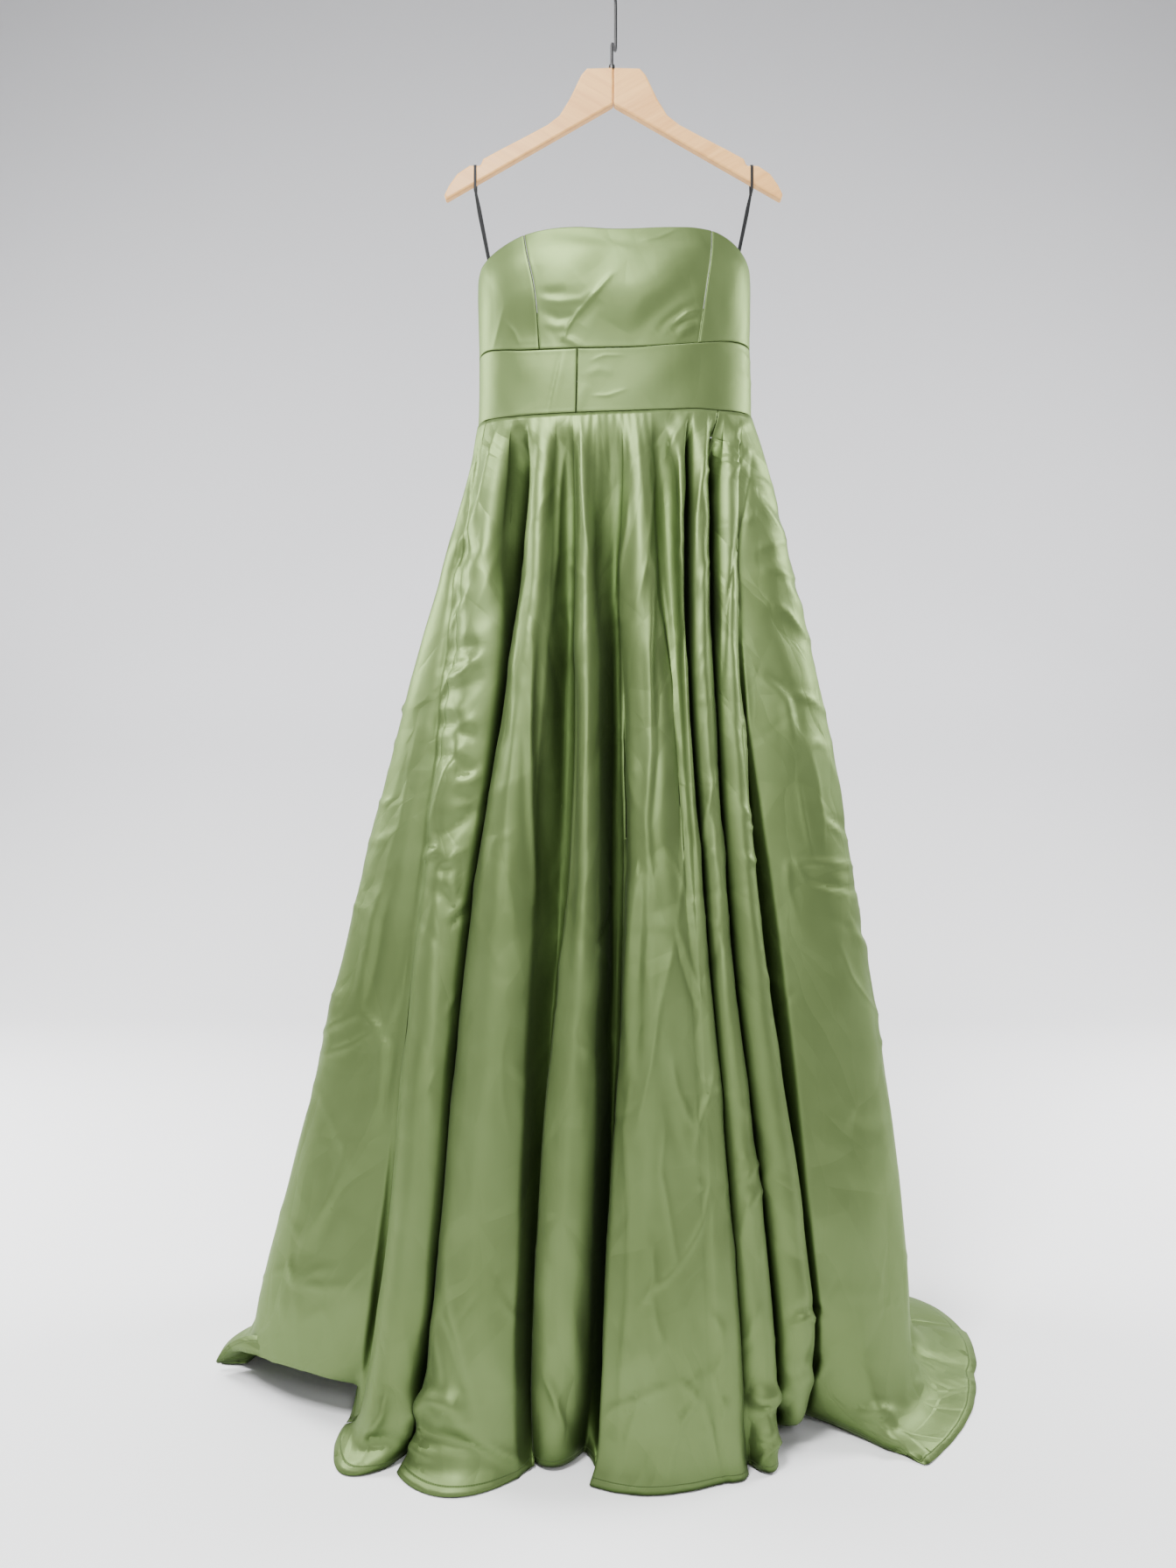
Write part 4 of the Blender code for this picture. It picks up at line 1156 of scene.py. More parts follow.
HEM_HEIGHT = 0.002
STATIONS = (
    Station("waist", 1.195, 0.1735, 0.1765, 0.086, 0.067, 2.25),
    Station("hip", 1.095, 0.197, 0.212, 0.107, 0.092, 2.12),
    Station("thigh", 0.850, 0.270, 0.273, 0.147, 0.155, 2.03),
    Station("knee", 0.600, 0.335, 0.319, 0.186, 0.212, 2.0),
    Station("calf", 0.380, 0.387, 0.354, 0.220, 0.262, 2.0),
    Station("ankle", 0.170, 0.442, 0.375, 0.255, 0.308, 2.0),
    Station("break", 0.036, 0.478, 0.398, 0.274, 0.340, 2.0),
    Station("hem", HEM_HEIGHT, 0.518, 0.486, 0.288, 0.385, 2.0),
)
FOLD_STATIONS = (0.0, 1.0, 2.0, 3.0, 5.0, 7.0)
FRONT_FOLDS = (
    Fold("left_pocket", (-0.163, -0.181, -0.213, -0.244, -0.281, -0.352),
         (0.012, 0.012, 0.014, 0.016, 0.016, 0.016), (0.004, 0.006, 0.010, 0.016, 0.035, 0.070), 0.001),
    Fold("left_gap", (-0.117, -0.122, -0.140, -0.178, -0.213, -0.250),
         (0.022, 0.026, 0.014, 0.007, 0.010, 0.012), (0.024, 0.056, 0.064, 0.050, 0.070, 0.080), 0.008),
    Fold("left_hollow", (-0.061, -0.063, -0.068, -0.080, -0.106, -0.104),
         (0.020, 0.026, 0.036, 0.040, 0.018, 0.010), (0.012, 0.024, 0.050, 0.062, 0.060, 0.056), 0.006),
    Fold("centre_gap", (-0.010, -0.008, -0.008, -0.007, -0.023, -0.037),
         (0.032, 0.032, 0.024, 0.026, 0.016, 0.008), (0.012, 0.026, 0.050, 0.058, 0.075, 0.060), 0.010),
    Fold("panel_crease", (0.052, 0.060, 0.073, 0.084, 0.100, 0.118),
         (0.016, 0.022, 0.012, 0.010, 0.012, 0.012), (0.010, 0.022, 0.012, 0.003, 0.001, 0.001), 0.000),
    Fold("right_gap", (0.092, 0.0885, 0.0885, 0.104, 0.137, 0.150),
         (0.009, 0.009, 0.008, 0.006, 0.006, 0.006), (0.022, 0.048, 0.058, 0.034, 0.020, 0.030), -0.005),
    Fold("right_slit", (0.127, 0.122, 0.1215, 0.133, 0.178, 0.194),
         (0.018, 0.014, 0.008, 0.007, 0.009, 0.014), (0.022, 0.046, 0.062, 0.055, 0.060, 0.095), -0.006),
    Fold("right_hollow", (0.155, 0.155, 0.158, 0.184, 0.232, 0.257),
         (0.006, 0.006, 0.014, 0.028, 0.014, 0.026), (0.004, 0.006, 0.034, 0.062, 0.080, 0.130), -0.006),
)
BACK_FOLDS = (
    BackFold("back_1", 18.0, 14.0, 0.016, 0.042, 0.050),
    BackFold("back_2", 36.0, 31.0, 0.010, 0.058, 0.075),
    BackFold("back_3", 54.0, 48.0, 0.020, 0.046, 0.060),
    BackFold("back_4", 72.0, 68.0, 0.012, 0.050, 0.080),
    BackFold("left_side", 89.0, 92.0, 0.022, 0.018, 0.055),
    BackFold("right_side", 275.0, 262.0, 0.024, 0.020, 0.001),
    BackFold("back_5", 291.0, 284.0, 0.014, 0.046, -0.006),
    BackFold("back_6", 307.0, 303.0, 0.018, 0.052, 0.080),
    BackFold("back_7", 324.0, 322.0, 0.011, 0.060, 0.070),
    BackFold("back_8", 342.0, 344.0, 0.018, 0.042, 0.050),
)
PANEL_HEMS = {
    "left_side": PanelHem((0.000, 0.060, 0.105), (0.010, 0.078, 0.052)),
    "left_pocket": PanelHem((0.065, 0.000, 0.012), (0.000, 0.000, 0.000)),
    "left_gap": PanelHem((0.004, -0.010, 0.020), (0.000, 0.000, 0.000)),
    "left_hollow": PanelHem((0.050, 0.052, 0.070), (0.003, 0.004, 0.003), 3.2),
    "centre_gap": PanelHem((0.014, 0.010, 0.023), (0.000, 0.000, 0.000)),
    "panel_crease": PanelHem((0.023, 0.025, 0.028), (0.000, 0.000, 0.000)),
    "right_gap": PanelHem((0.040, 0.030, 0.036), (0.002, 0.002, 0.002)),
    "right_slit": PanelHem((0.105, 0.095, 0.105), (0.012, 0.018, 0.014)),
    "right_hollow": PanelHem(outline=(
        (0.00, 0.116), (0.06, 0.088), (0.12, 0.046), (0.16, 0.008),
        (0.195, -0.019), (0.24, -0.014), (0.32, -0.004), (0.45, 0.008),
        (0.60, 0.018), (0.80, 0.027), (1.00, 0.030))),
    "right_side": PanelHem((0.030, 0.015, -0.006), (0.000, 0.000, 0.000)),
    "back_5": PanelHem((-0.006, -0.017, -0.022), (0.000, 0.000, 0.000)),
    "back_6": PanelHem((-0.022, -0.010, 0.000), (0.000, 0.000, 0.000)),
}
HEM_TIPS = (
    HemTip(119.0, 5.0, 0.012),
)
SKIRT_VALLEYS = (
    rounded(9, -8, 592,486, 588,550, 582,610, 576,680),
    rounded(8, -4.5, 684,540, 690,610, 692,680, 688,740),
    rounded(5.6, -7, 708,720, 710,820, 708,940, 706,1060, 702,1180),
    rounded(8, -4.5, 766,484, 764,560, 766,640, 774,740),
    rounded(8, -4, 822,480, 822,540),
    rounded(6, -5, 616,700, 618,850, 620,1000),
    rounded(6, -6, 652,700, 652,850, 652,1000, 648,1150),
)
SKIRT_WRINKLES = (
    pressed(6.3, 4.3, 570,482, 562,510, 553,550, 546,582, 536,606, 524,622, 519,644),
    pressed(4.2, -2.4, 538,520, 534,604, 518,660, 512,716, 501,800, 493,900, 483,984),
    rounded(6, -1.2, 542,500, 544,540, 538,580),
    pressed(3.7, 1.3, 534,572, 540,568, 546,560),
    rounded(5.5, 3.4, 556,622, 540,640, 528,664, 520,690),
    rounded(6, -3.1, 549,628, 534,634, 522,646),
    pressed(5, 3.8, 540,668, 530,690, 520,708, 514,722),
    rounded(3.6, -3.1, 520,668, 524,684, 518,700),
    rounded(5.6, -4.4, 512,748, 524,740, 548,738),
    rounded(4.4, -3.7, 508,764, 520,762, 534,752),
    pressed(4, 3.1, 524,752, 534,751, 544,756),
    pressed(5.7, 5, 503,796, 512,780, 530,768, 550,750),
    rounded(4, 2.6, 506,772, 516,768, 524,762),
    rounded(7, -2.9, 512,792, 530,786, 556,770),
    rounded(4.4, 2.7, 502,812, 514,808, 530,812),
    rounded(5.6, -4.1, 503,826, 520,832, 546,846),
    rounded(4.4, 3.1, 500,842, 512,838, 528,830, 546,820),
    rounded(4.4, -3.4, 500,864, 516,866, 536,878),
    rounded(6.2, 5.6, 528,846, 522,862, 512,880, 502,916, 492,950),
    pressed(4.7, 3.2, 522,866, 512,884, 502,920, 489,962),
    rounded(4, 2.9, 522,896, 534,892, 548,884),
    rounded(4, -2.6, 520,882, 534,884, 546,876),
    rounded(4.4, -2.6, 516,910, 534,912, 550,908),
    rounded(7, -5.6, 498,962, 514,948, 530,936, 552,916),
    pressed(4.2, 4.1, 483,984, 490,976, 500,972),
    pressed(5, 3.1, 492,990, 512,984, 520,976, 534,970),
    rounded(5, -3.1, 494,980, 506,994, 520,996),
    rounded(5.4, -3.1, 492,1012, 508,1024, 520,1044),
    pressed(4.2, 3.6, 514,1048, 522,1038, 532,1030),
    rounded(3.6, -2.9, 516,1056, 524,1048, 534,1042),
    rounded(4.4, 2.4, 518,992, 516,1014, 520,1034),
    pressed(5, 2.2, 482,990, 474,1040, 464,1110, 457,1190, 448,1280),
    pressed(5, 2.3, 448,1280, 438,1370, 427,1440, 418,1530, 412,1600),
    pressed(3.5, 1.2, 497,1169, 504,1168, 514,1169),
    pressed(3.5, 1.7, 508,1162, 514,1150, 521,1134),
    pressed(3.5, 1, 480,1262, 488,1244, 500,1222),
    pressed(6.3, 2.3, 478,830, 468,880, 458,940, 446,976, 440,1006),
    rounded(6, -1.7, 470,800, 450,870, 436,930, 424,966),
    rounded(4.5, 1.7, 492,800, 480,870, 470,930, 458,990, 446,1060),
    stepped(5, 2.7, 448,1000, 432,1050, 424,1100, 412,1156),
    pressed(3.2, 1.8, 428,916, 438,918, 446,914),
    rounded(3.4, 1, 410,970, 424,962, 440,958, 462,946),
    pressed(3.5, 2, 396,1046, 402,1036, 412,1038),
    pressed(3.5, 1.2, 370,1144, 380,1138, 392,1136),
    pressed(4.5, 1.9, 356,1192, 378,1174, 412,1157),
    pressed(4, 2.2, 412,1157, 424,1168, 436,1178),
    pressed(3.7, 1.9, 436,1178, 446,1166, 452,1146, 462,1110),
    pressed(4.5, 2.2, 432,1176, 404,1192, 388,1200, 364,1206),
    stepped(5, 2.3, 436,1178, 442,1196, 440,1230, 434,1280),
    rounded(6, -1.4, 404,1060, 396,1110, 392,1156),
    pressed(5, 2.4, 398,1296, 390,1330, 376,1370, 352,1410, 336,1462),
    rounded(5, -1.2, 392,1300, 372,1350, 350,1390, 334,1404),
    rounded(6, -1.7, 404,1310, 384,1380, 360,1424, 344,1462),
    pressed(3.7, 1.4, 296,1462, 312,1454, 330,1450),
    pressed(4.2, 2.4, 331,1440, 336,1470),
    pressed(4, 1.7, 336,1468, 356,1470, 380,1472, 396,1466),
    pressed(4, 1.6, 336,1466, 356,1454, 380,1448),
    pressed(5, 1.7, 330,1470, 324,1490, 326,1516),
    pressed(4.5, 1.6, 332,1522, 354,1506, 370,1494),
    pressed(4, 1.3, 370,1494, 376,1508, 384,1526),
    rounded(4, 0.9, 300,1400, 314,1388, 330,1378),
    rounded(4.6, -3.3, 284,1500, 278,1520, 276,1536),
    pressed(7.5, 8.1, 412,1646, 424,1636, 436,1616, 440,1598),
    rounded(8, -7.2, 398,1664, 416,1650, 436,1652, 450,1640),
    rounded(5, 4.5, 396,1620, 392,1640, 392,1664),
    rounded(5, 4, 428,1672, 440,1664, 450,1660),
    rounded(9, 1.1, 578,600, 566,660, 562,740, 558,820, 548,900),
    rounded(8, -1.7, 570,680, 558,700, 540,720),
    rounded(5, 2.2, 606,492, 602,560, 594,620, 588,680),
    rounded(4, -1.3, 612,492, 610,560, 602,640, 598,740),
    rounded(5.6, 2.8, 628,486, 624,540, 618,600, 612,700, 606,780),
    rounded(4.4, -2, 638,490, 636,520, 634,560, 634,600),
    pressed(5.7, 2.6, 652,486, 644,520, 640,560, 636,640, 628,720),
    rounded(6, -2.8, 656,500, 652,560, 650,640, 648,720),
    pressed(5.5, 2.6, 664,484, 664,540, 668,600, 674,640),
    rounded(4.6, -2.2, 674,490, 676,540, 676,590),
    rounded(4.6, 2, 690,496, 686,540, 682,590, 680,640),
    pressed(4.2, 1.3, 712,496, 704,520, 700,560),
    pressed(5.5, 2.9, 720,560, 718,600, 712,636, 704,690),
    pressed(3.7, 0.9, 636,628, 646,640, 668,660),
    pressed(3.7, 0.9, 632,690, 642,706, 650,724),
    rounded(5, 2.4, 628,700, 627,780, 628,860, 634,884),
    pressed(5, 3.3, 610,740, 606,820, 606,900, 610,980, 612,1030),
    rounded(4, -1.3, 600,760, 598,840, 600,920, 604,990),
    pressed(3.7, 1.2, 624,886, 632,890, 640,902),
    pressed(3.7, 0.9, 620,908, 634,914, 646,920),
    rounded(7, 3.3, 640,1000, 636,1100, 628,1200, 620,1300, 612,1400),
    pressed(3.2, 0.9, 562,964, 574,958, 588,952),
    rounded(14, 1.7, 600,700, 584,800, 574,920, 560,1060),
    rounded(11, 1.9, 596,1240, 594,1360, 592,1480),
    rounded(16, -1.1, 570,1300, 560,1400, 548,1480),
    rounded(6, 3.1, 522,1240, 512,1330, 508,1420, 516,1500, 530,1560, 548,1620),
    rounded(6.6, 3.9, 490,1440, 494,1510, 508,1570, 522,1624),
    rounded(5.4, -3.3, 504,1500, 518,1560, 534,1612),
    rounded(9, 10.8, 458,1650, 470,1616, 494,1600, 514,1606, 524,1626),
    pressed(6.3, 7.2, 464,1634, 474,1656, 494,1668),
    rounded(8, -8.1, 470,1630, 490,1644, 520,1650, 560,1660),
    pressed(7.5, 3.6, 520,1640, 560,1654, 600,1674, 622,1694),
    rounded(13, -4.5, 476,1682, 520,1676, 570,1682, 610,1696),
    pressed(5.5, 5, 622,1568, 632,1590, 640,1618, 646,1632),
    rounded(8, 2.2, 650,1500, 664,1560, 666,1600, 652,1640),
    rounded(8, 2.2, 660,700, 670,820, 672,960, 668,1120, 666,1260),
    rounded(4, -1.4, 690,800, 696,880, 698,930, 696,980),
    pressed(5, -2.4, 700,1040, 692,1060, 682,1080),
    pressed(4.2, 1.7, 682,1082, 692,1096, 700,1110),
    pressed(3.2, 1.9, 697,1004, 700,1012),
    pressed(4.5, 2.6, 746,638, 754,700, 764,770, 772,830, 780,870),
    pressed(4.5, 2.2, 740,500, 748,540, 744,580, 740,640, 726,700),
    stepped(4, 2.3, 752,640, 746,740, 748,860, 742,940, 746,990),
    rounded(10, 1.1, 724,520, 726,600, 726,680, 722,760),
    rounded(6, -1.3, 720,700, 726,800, 732,870, 734,930),
    pressed(4, 1.2, 712,820, 716,880, 726,920, 736,930),
    pressed(3, 1, 720,880, 728,884),
    pressed(3.5, 1.2, 744,800, 752,786, 764,780),
    rounded(14, 1.9, 764,760, 762,860, 762,960, 750,1050),
    stepped(6, 3.1, 728,1000, 724,1100, 722,1200, 722,1240),
    pressed(5, 1.9, 780,880, 782,960, 780,1010, 774,1056),
    rounded(5, 0.8, 726,1054, 746,1050, 770,1062),
    pressed(4.2, -1.9, 770,1064, 778,1100, 790,1136, 800,1152),
    pressed(4.5, 2, 774,1062, 784,1090, 796,1124, 804,1146),
    pressed(5, 2.2, 772,1074, 764,1104, 752,1160, 744,1220, 728,1290),
    rounded(5, -1.1, 784,1080, 790,1130, 800,1180),
    rounded(10, 2.2, 740,1080, 736,1160, 730,1240, 722,1320),
    pressed(6.3, 2.4, 722,1230, 714,1290, 720,1380, 718,1480, 710,1580, 704,1680),
    pressed(3.2, 1, 728,1290, 736,1290, 740,1284),
    pressed(4.2, 1.9, 768,1214, 774,1244, 786,1274, 806,1300),
    pressed(5.5, 2.4, 818,1220, 812,1250, 798,1288, 794,1330),
    rounded(6.4, 1.7, 812,1260, 806,1300, 800,1350),
    rounded(5, -1.2, 766,1262, 772,1300, 782,1326),
    pressed(4.2, 2, 760,1290, 756,1340, 764,1380, 770,1420, 775,1446),
    pressed(3, 1.2, 796,1350, 802,1356),
    pressed(4.5, 2.3, 775,1446, 790,1424, 804,1396, 812,1350),
    pressed(4.2, 1.7, 775,1446, 760,1462, 744,1474),
    rounded(6, -1.2, 750,1360, 744,1400, 752,1430),
    pressed(4.2, 1.9, 746,1430, 748,1462, 738,1484, 730,1494),
    pressed(4.2, 1.7, 746,1480, 750,1510, 758,1534, 748,1560),
    rounded(7, 1.8, 818,1410, 820,1450, 818,1500),
    pressed(5, 2.6, 812,1500, 826,1520, 828,1548, 816,1570, 822,1600),
    pressed(4.2, 3.1, 822,1600, 830,1606, 824,1622),
    rounded(7, -1.3, 802,1500, 806,1540, 802,1580),
    pressed(3.7, 2.5, 776,1578, 788,1588, 800,1602),
    pressed(4.5, 2.7, 802,1578, 796,1600, 778,1626, 768,1660, 764,1690),
    pressed(4.5, 2.5, 804,1600, 812,1630, 820,1670, 826,1700),
    pressed(3.7, 1.6, 800,1642, 812,1632, 818,1626),
    pressed(4.5, 2.7, 768,1584, 744,1592, 724,1602, 700,1610, 690,1624),
    pressed(4.2, 2.3, 734,1580, 728,1610, 718,1640, 714,1670),
    pressed(4.2, 2, 742,1660, 734,1688, 722,1704),
    rounded(8, -2.2, 752,1630, 748,1670, 752,1700),
    pressed(4.5, 2.9, 786,476, 772,496, 762,520, 758,560),
    pressed(4.2, 3.2, 783,484, 782,540, 778,590, 779,620, 770,650),
    rounded(4.6, -2.4, 770,520, 768,560, 770,600),
    pressed(3.7, 1.7, 774,650, 776,700, 772,730),
    pressed(4.5, 3.2, 808,470, 806,520, 802,546, 797,590, 795,660),
    pressed(3.2, 1.7, 816,530, 808,536, 803,548),
    rounded(3.6, 1, 812,560, 806,600, 800,640),
    pressed(3.7, 1.3, 815,634, 806,650, 798,680),
    pressed(3.2, 1.4, 808,738, 800,748, 796,760),
    pressed(3.7, 1.3, 808,752, 802,768, 798,786),
    pressed(3, 1, 797,800, 810,800),
    pressed(4.2, 2.4, 820,880, 812,910, 806,940, 802,974),
    rounded(4.4, -1.1, 812,870, 802,900, 796,930),
    pressed(3.5, 1.2, 802,982, 812,976, 822,976),
    pressed(4.2, 1.2, 828,966, 824,1000, 832,1060, 828,1070),
    pressed(3.2, 1.2, 808,1048, 816,1058, 824,1060),
    rounded(4, 1.1, 840,1150, 846,1220, 854,1262, 862,1290),
    pressed(4.2, 2.4, 838,1330, 852,1326, 864,1330, 856,1344, 842,1356),
    pressed(5, 2.4, 874,1340, 870,1358, 856,1376, 850,1410),
    rounded(4.6, -1.7, 856,1390, 860,1440, 874,1500),
    pressed(4.2, 2.4, 866,1494, 862,1512, 858,1530),
    rounded(6.6, 6.7, 858,1588, 872,1600, 884,1600, 896,1586),
    rounded(7, -6.7, 862,1626, 878,1614, 892,1618),
    pressed(5.5, 6.3, 868,1676, 876,1660, 888,1648, 894,1638),
    pressed(5, 4, 866,1640, 878,1644, 886,1632),
    pressed(3.7, 2.6, 836,496, 846,508, 860,520),
    pressed(3.5, 1.9, 834,522, 846,522, 858,518),
    pressed(3.7, 2.4, 832,546, 842,536, 852,520),
    pressed(4.2, 2, 838,500, 846,488, 858,482),
    pressed(4, 2.2, 846,540, 862,548, 884,558),
    stepped(3.6, 2.3, 868,566, 886,590, 902,614),
    pressed(4.2, -2.4, 860,520, 857,548, 848,600, 838,650, 829,700, 827,745, 825,790),
    pressed(3.7, 2, 850,597, 858,592, 864,584),
    pressed(4, 2.2, 866,626, 880,621, 902,618),
    rounded(5, -1.4, 862,636, 882,636, 906,640),
    pressed(4.5, 2.3, 868,652, 884,650, 900,656, 916,664),
    pressed(4.5, 2.4, 870,682, 886,692, 900,700, 920,724, 936,750),
    rounded(6.4, -1.4, 880,700, 900,716, 920,744),
    stepped(4, 2.2, 904,664, 914,684, 924,704),
    pressed(4.7, 2.3, 894,788, 908,792, 930,802, 948,820),
    stepped(6, 2.3, 870,770, 890,784, 904,800, 912,850),
    pressed(3.5, 1.3, 926,852, 934,849, 942,854),
    pressed(4.2, 1.7, 926,860, 934,890, 940,930, 942,972),
    pressed(4.7, 1.9, 912,890, 918,930, 924,960, 930,980),
    pressed(5.2, 2.4, 944,860, 956,892, 966,926, 978,960),
    stepped(3.4, 1.8, 946,936, 958,944, 966,956),
    pressed(4.2, 2.6, 906,986, 940,987, 964,988, 984,992),
    pressed(4.2, 2.4, 908,984, 916,1000, 924,1010),
    rounded(3.6, -1.9, 920,1002, 944,1010, 970,1018, 990,1014),
    pressed(4.5, 1.7, 924,1014, 948,1018, 984,1024),
    pressed(5.5, 2.4, 900,986, 900,1014, 910,1050),
    pressed(5.5, 3.2, 958,1080, 972,1118, 990,1144, 1012,1172),
    stepped(4, 2, 976,1054, 988,1074, 1000,1092),
    pressed(3.7, 2.4, 1004,1192, 1012,1193, 1018,1200),
    rounded(12, -1.3, 930,1060, 940,1160, 950,1280, 964,1380),
    pressed(6.3, 3.6, 1016,1240, 1024,1330, 1032,1440, 1036,1540, 1034,1600),
    pressed(4.2, 1.9, 1002,1500, 1016,1490, 1030,1488),
    rounded(6, 0.7, 960,1478, 1000,1480, 1030,1474),
    pressed(4.2, 1.9, 850,740, 854,800, 855,860, 859,920, 864,980),
    pressed(3.5, 2.2, 846,924, 852,926, 858,936),
    pressed(3.2, 1.9, 856,944, 862,948),
    pressed(4.2, 2.4, 850,978, 858,984, 866,984),
    pressed(3.2, 1.6, 846,828, 852,822),
    pressed(3.2, 1.3, 868,1036, 880,1032),
    rounded(4, 1.3, 864,1110, 880,1120, 894,1130),
    pressed(3.2, 1.3, 884,1164, 896,1156),
    rounded(4.4, -3.3, 904,1504, 924,1494, 944,1502),
    pressed(4.2, 3.6, 902,1516, 916,1510, 924,1506, 944,1508),
    rounded(8, -3.3, 902,1572, 924,1560, 948,1544),
    rounded(6, 3.1, 904,1590, 928,1576, 950,1556),
    rounded(5, 5, 978,1620, 1000,1612, 1018,1616, 1022,1640),
    pressed(5.5, 5.5, 1010,1652, 1032,1644, 1050,1654, 1066,1674),
    rounded(5, -5.4, 1020,1664, 1044,1660, 1060,1670),
    pressed(5.5, 4.3, 1038,1536, 1056,1546, 1082,1550, 1094,1538, 1112,1538),
    pressed(5, 2.9, 1040,1562, 1064,1560, 1086,1556),
    pressed(5, 2.9, 1044,1592, 1056,1570, 1072,1558),
    pressed(5, 3.1, 1046,1584, 1080,1582, 1112,1574),
    rounded(6, 1.7, 1056,1504, 1080,1524, 1100,1540),
)


FACET_SHARE = 0.45
FACET_WIDTHS = (0.010, 0.020)
FACET_HEIGHTS = (0.0010, 0.0024)
CREASE_WIDTHS = (0.0036, 0.0052)
CREASE_HEIGHTS = (0.0005, 0.0011)


def scattered(count: int, seed: int, columns: Tuple[float, float],
              rows: Tuple[float, float]) -> Tuple[Wrinkle, ...]:
    """Scatters faint pressed creases and wide facets between the listed ones.

    Args:
        count: how many.
        seed: picks them.
        columns: pixel columns between which they start.
        rows: pixel rows between which they start.

    Returns:
        The creases, the same on each run.
    """
    chance = np.random.default_rng(seed)
    creases = []
    for _ in range(count):
        place = np.array([chance.uniform(*columns), chance.uniform(*rows)])
        heading = chance.normal(0.5 * np.pi, 0.65)
        stride = chance.uniform(14.0, 52.0)
        path = [tuple(place)]
        for _ in range(3):
            heading += chance.normal(0.0, 0.22)
            place = place + stride * np.array([np.cos(heading), np.sin(heading)])
            path.append(tuple(place))
        sign = 1.0 if chance.random() < 0.6 else -1.0
        if chance.random() < FACET_SHARE:
            shape, widths, heights = Shape.FACET, FACET_WIDTHS, FACET_HEIGHTS
        else:
            shape, widths, heights = Shape.CRISP, CREASE_WIDTHS, CREASE_HEIGHTS
        creases.append(Wrinkle(tuple(path), chance.uniform(*widths), sign * chance.uniform(*heights), shape))
    return tuple(creases)


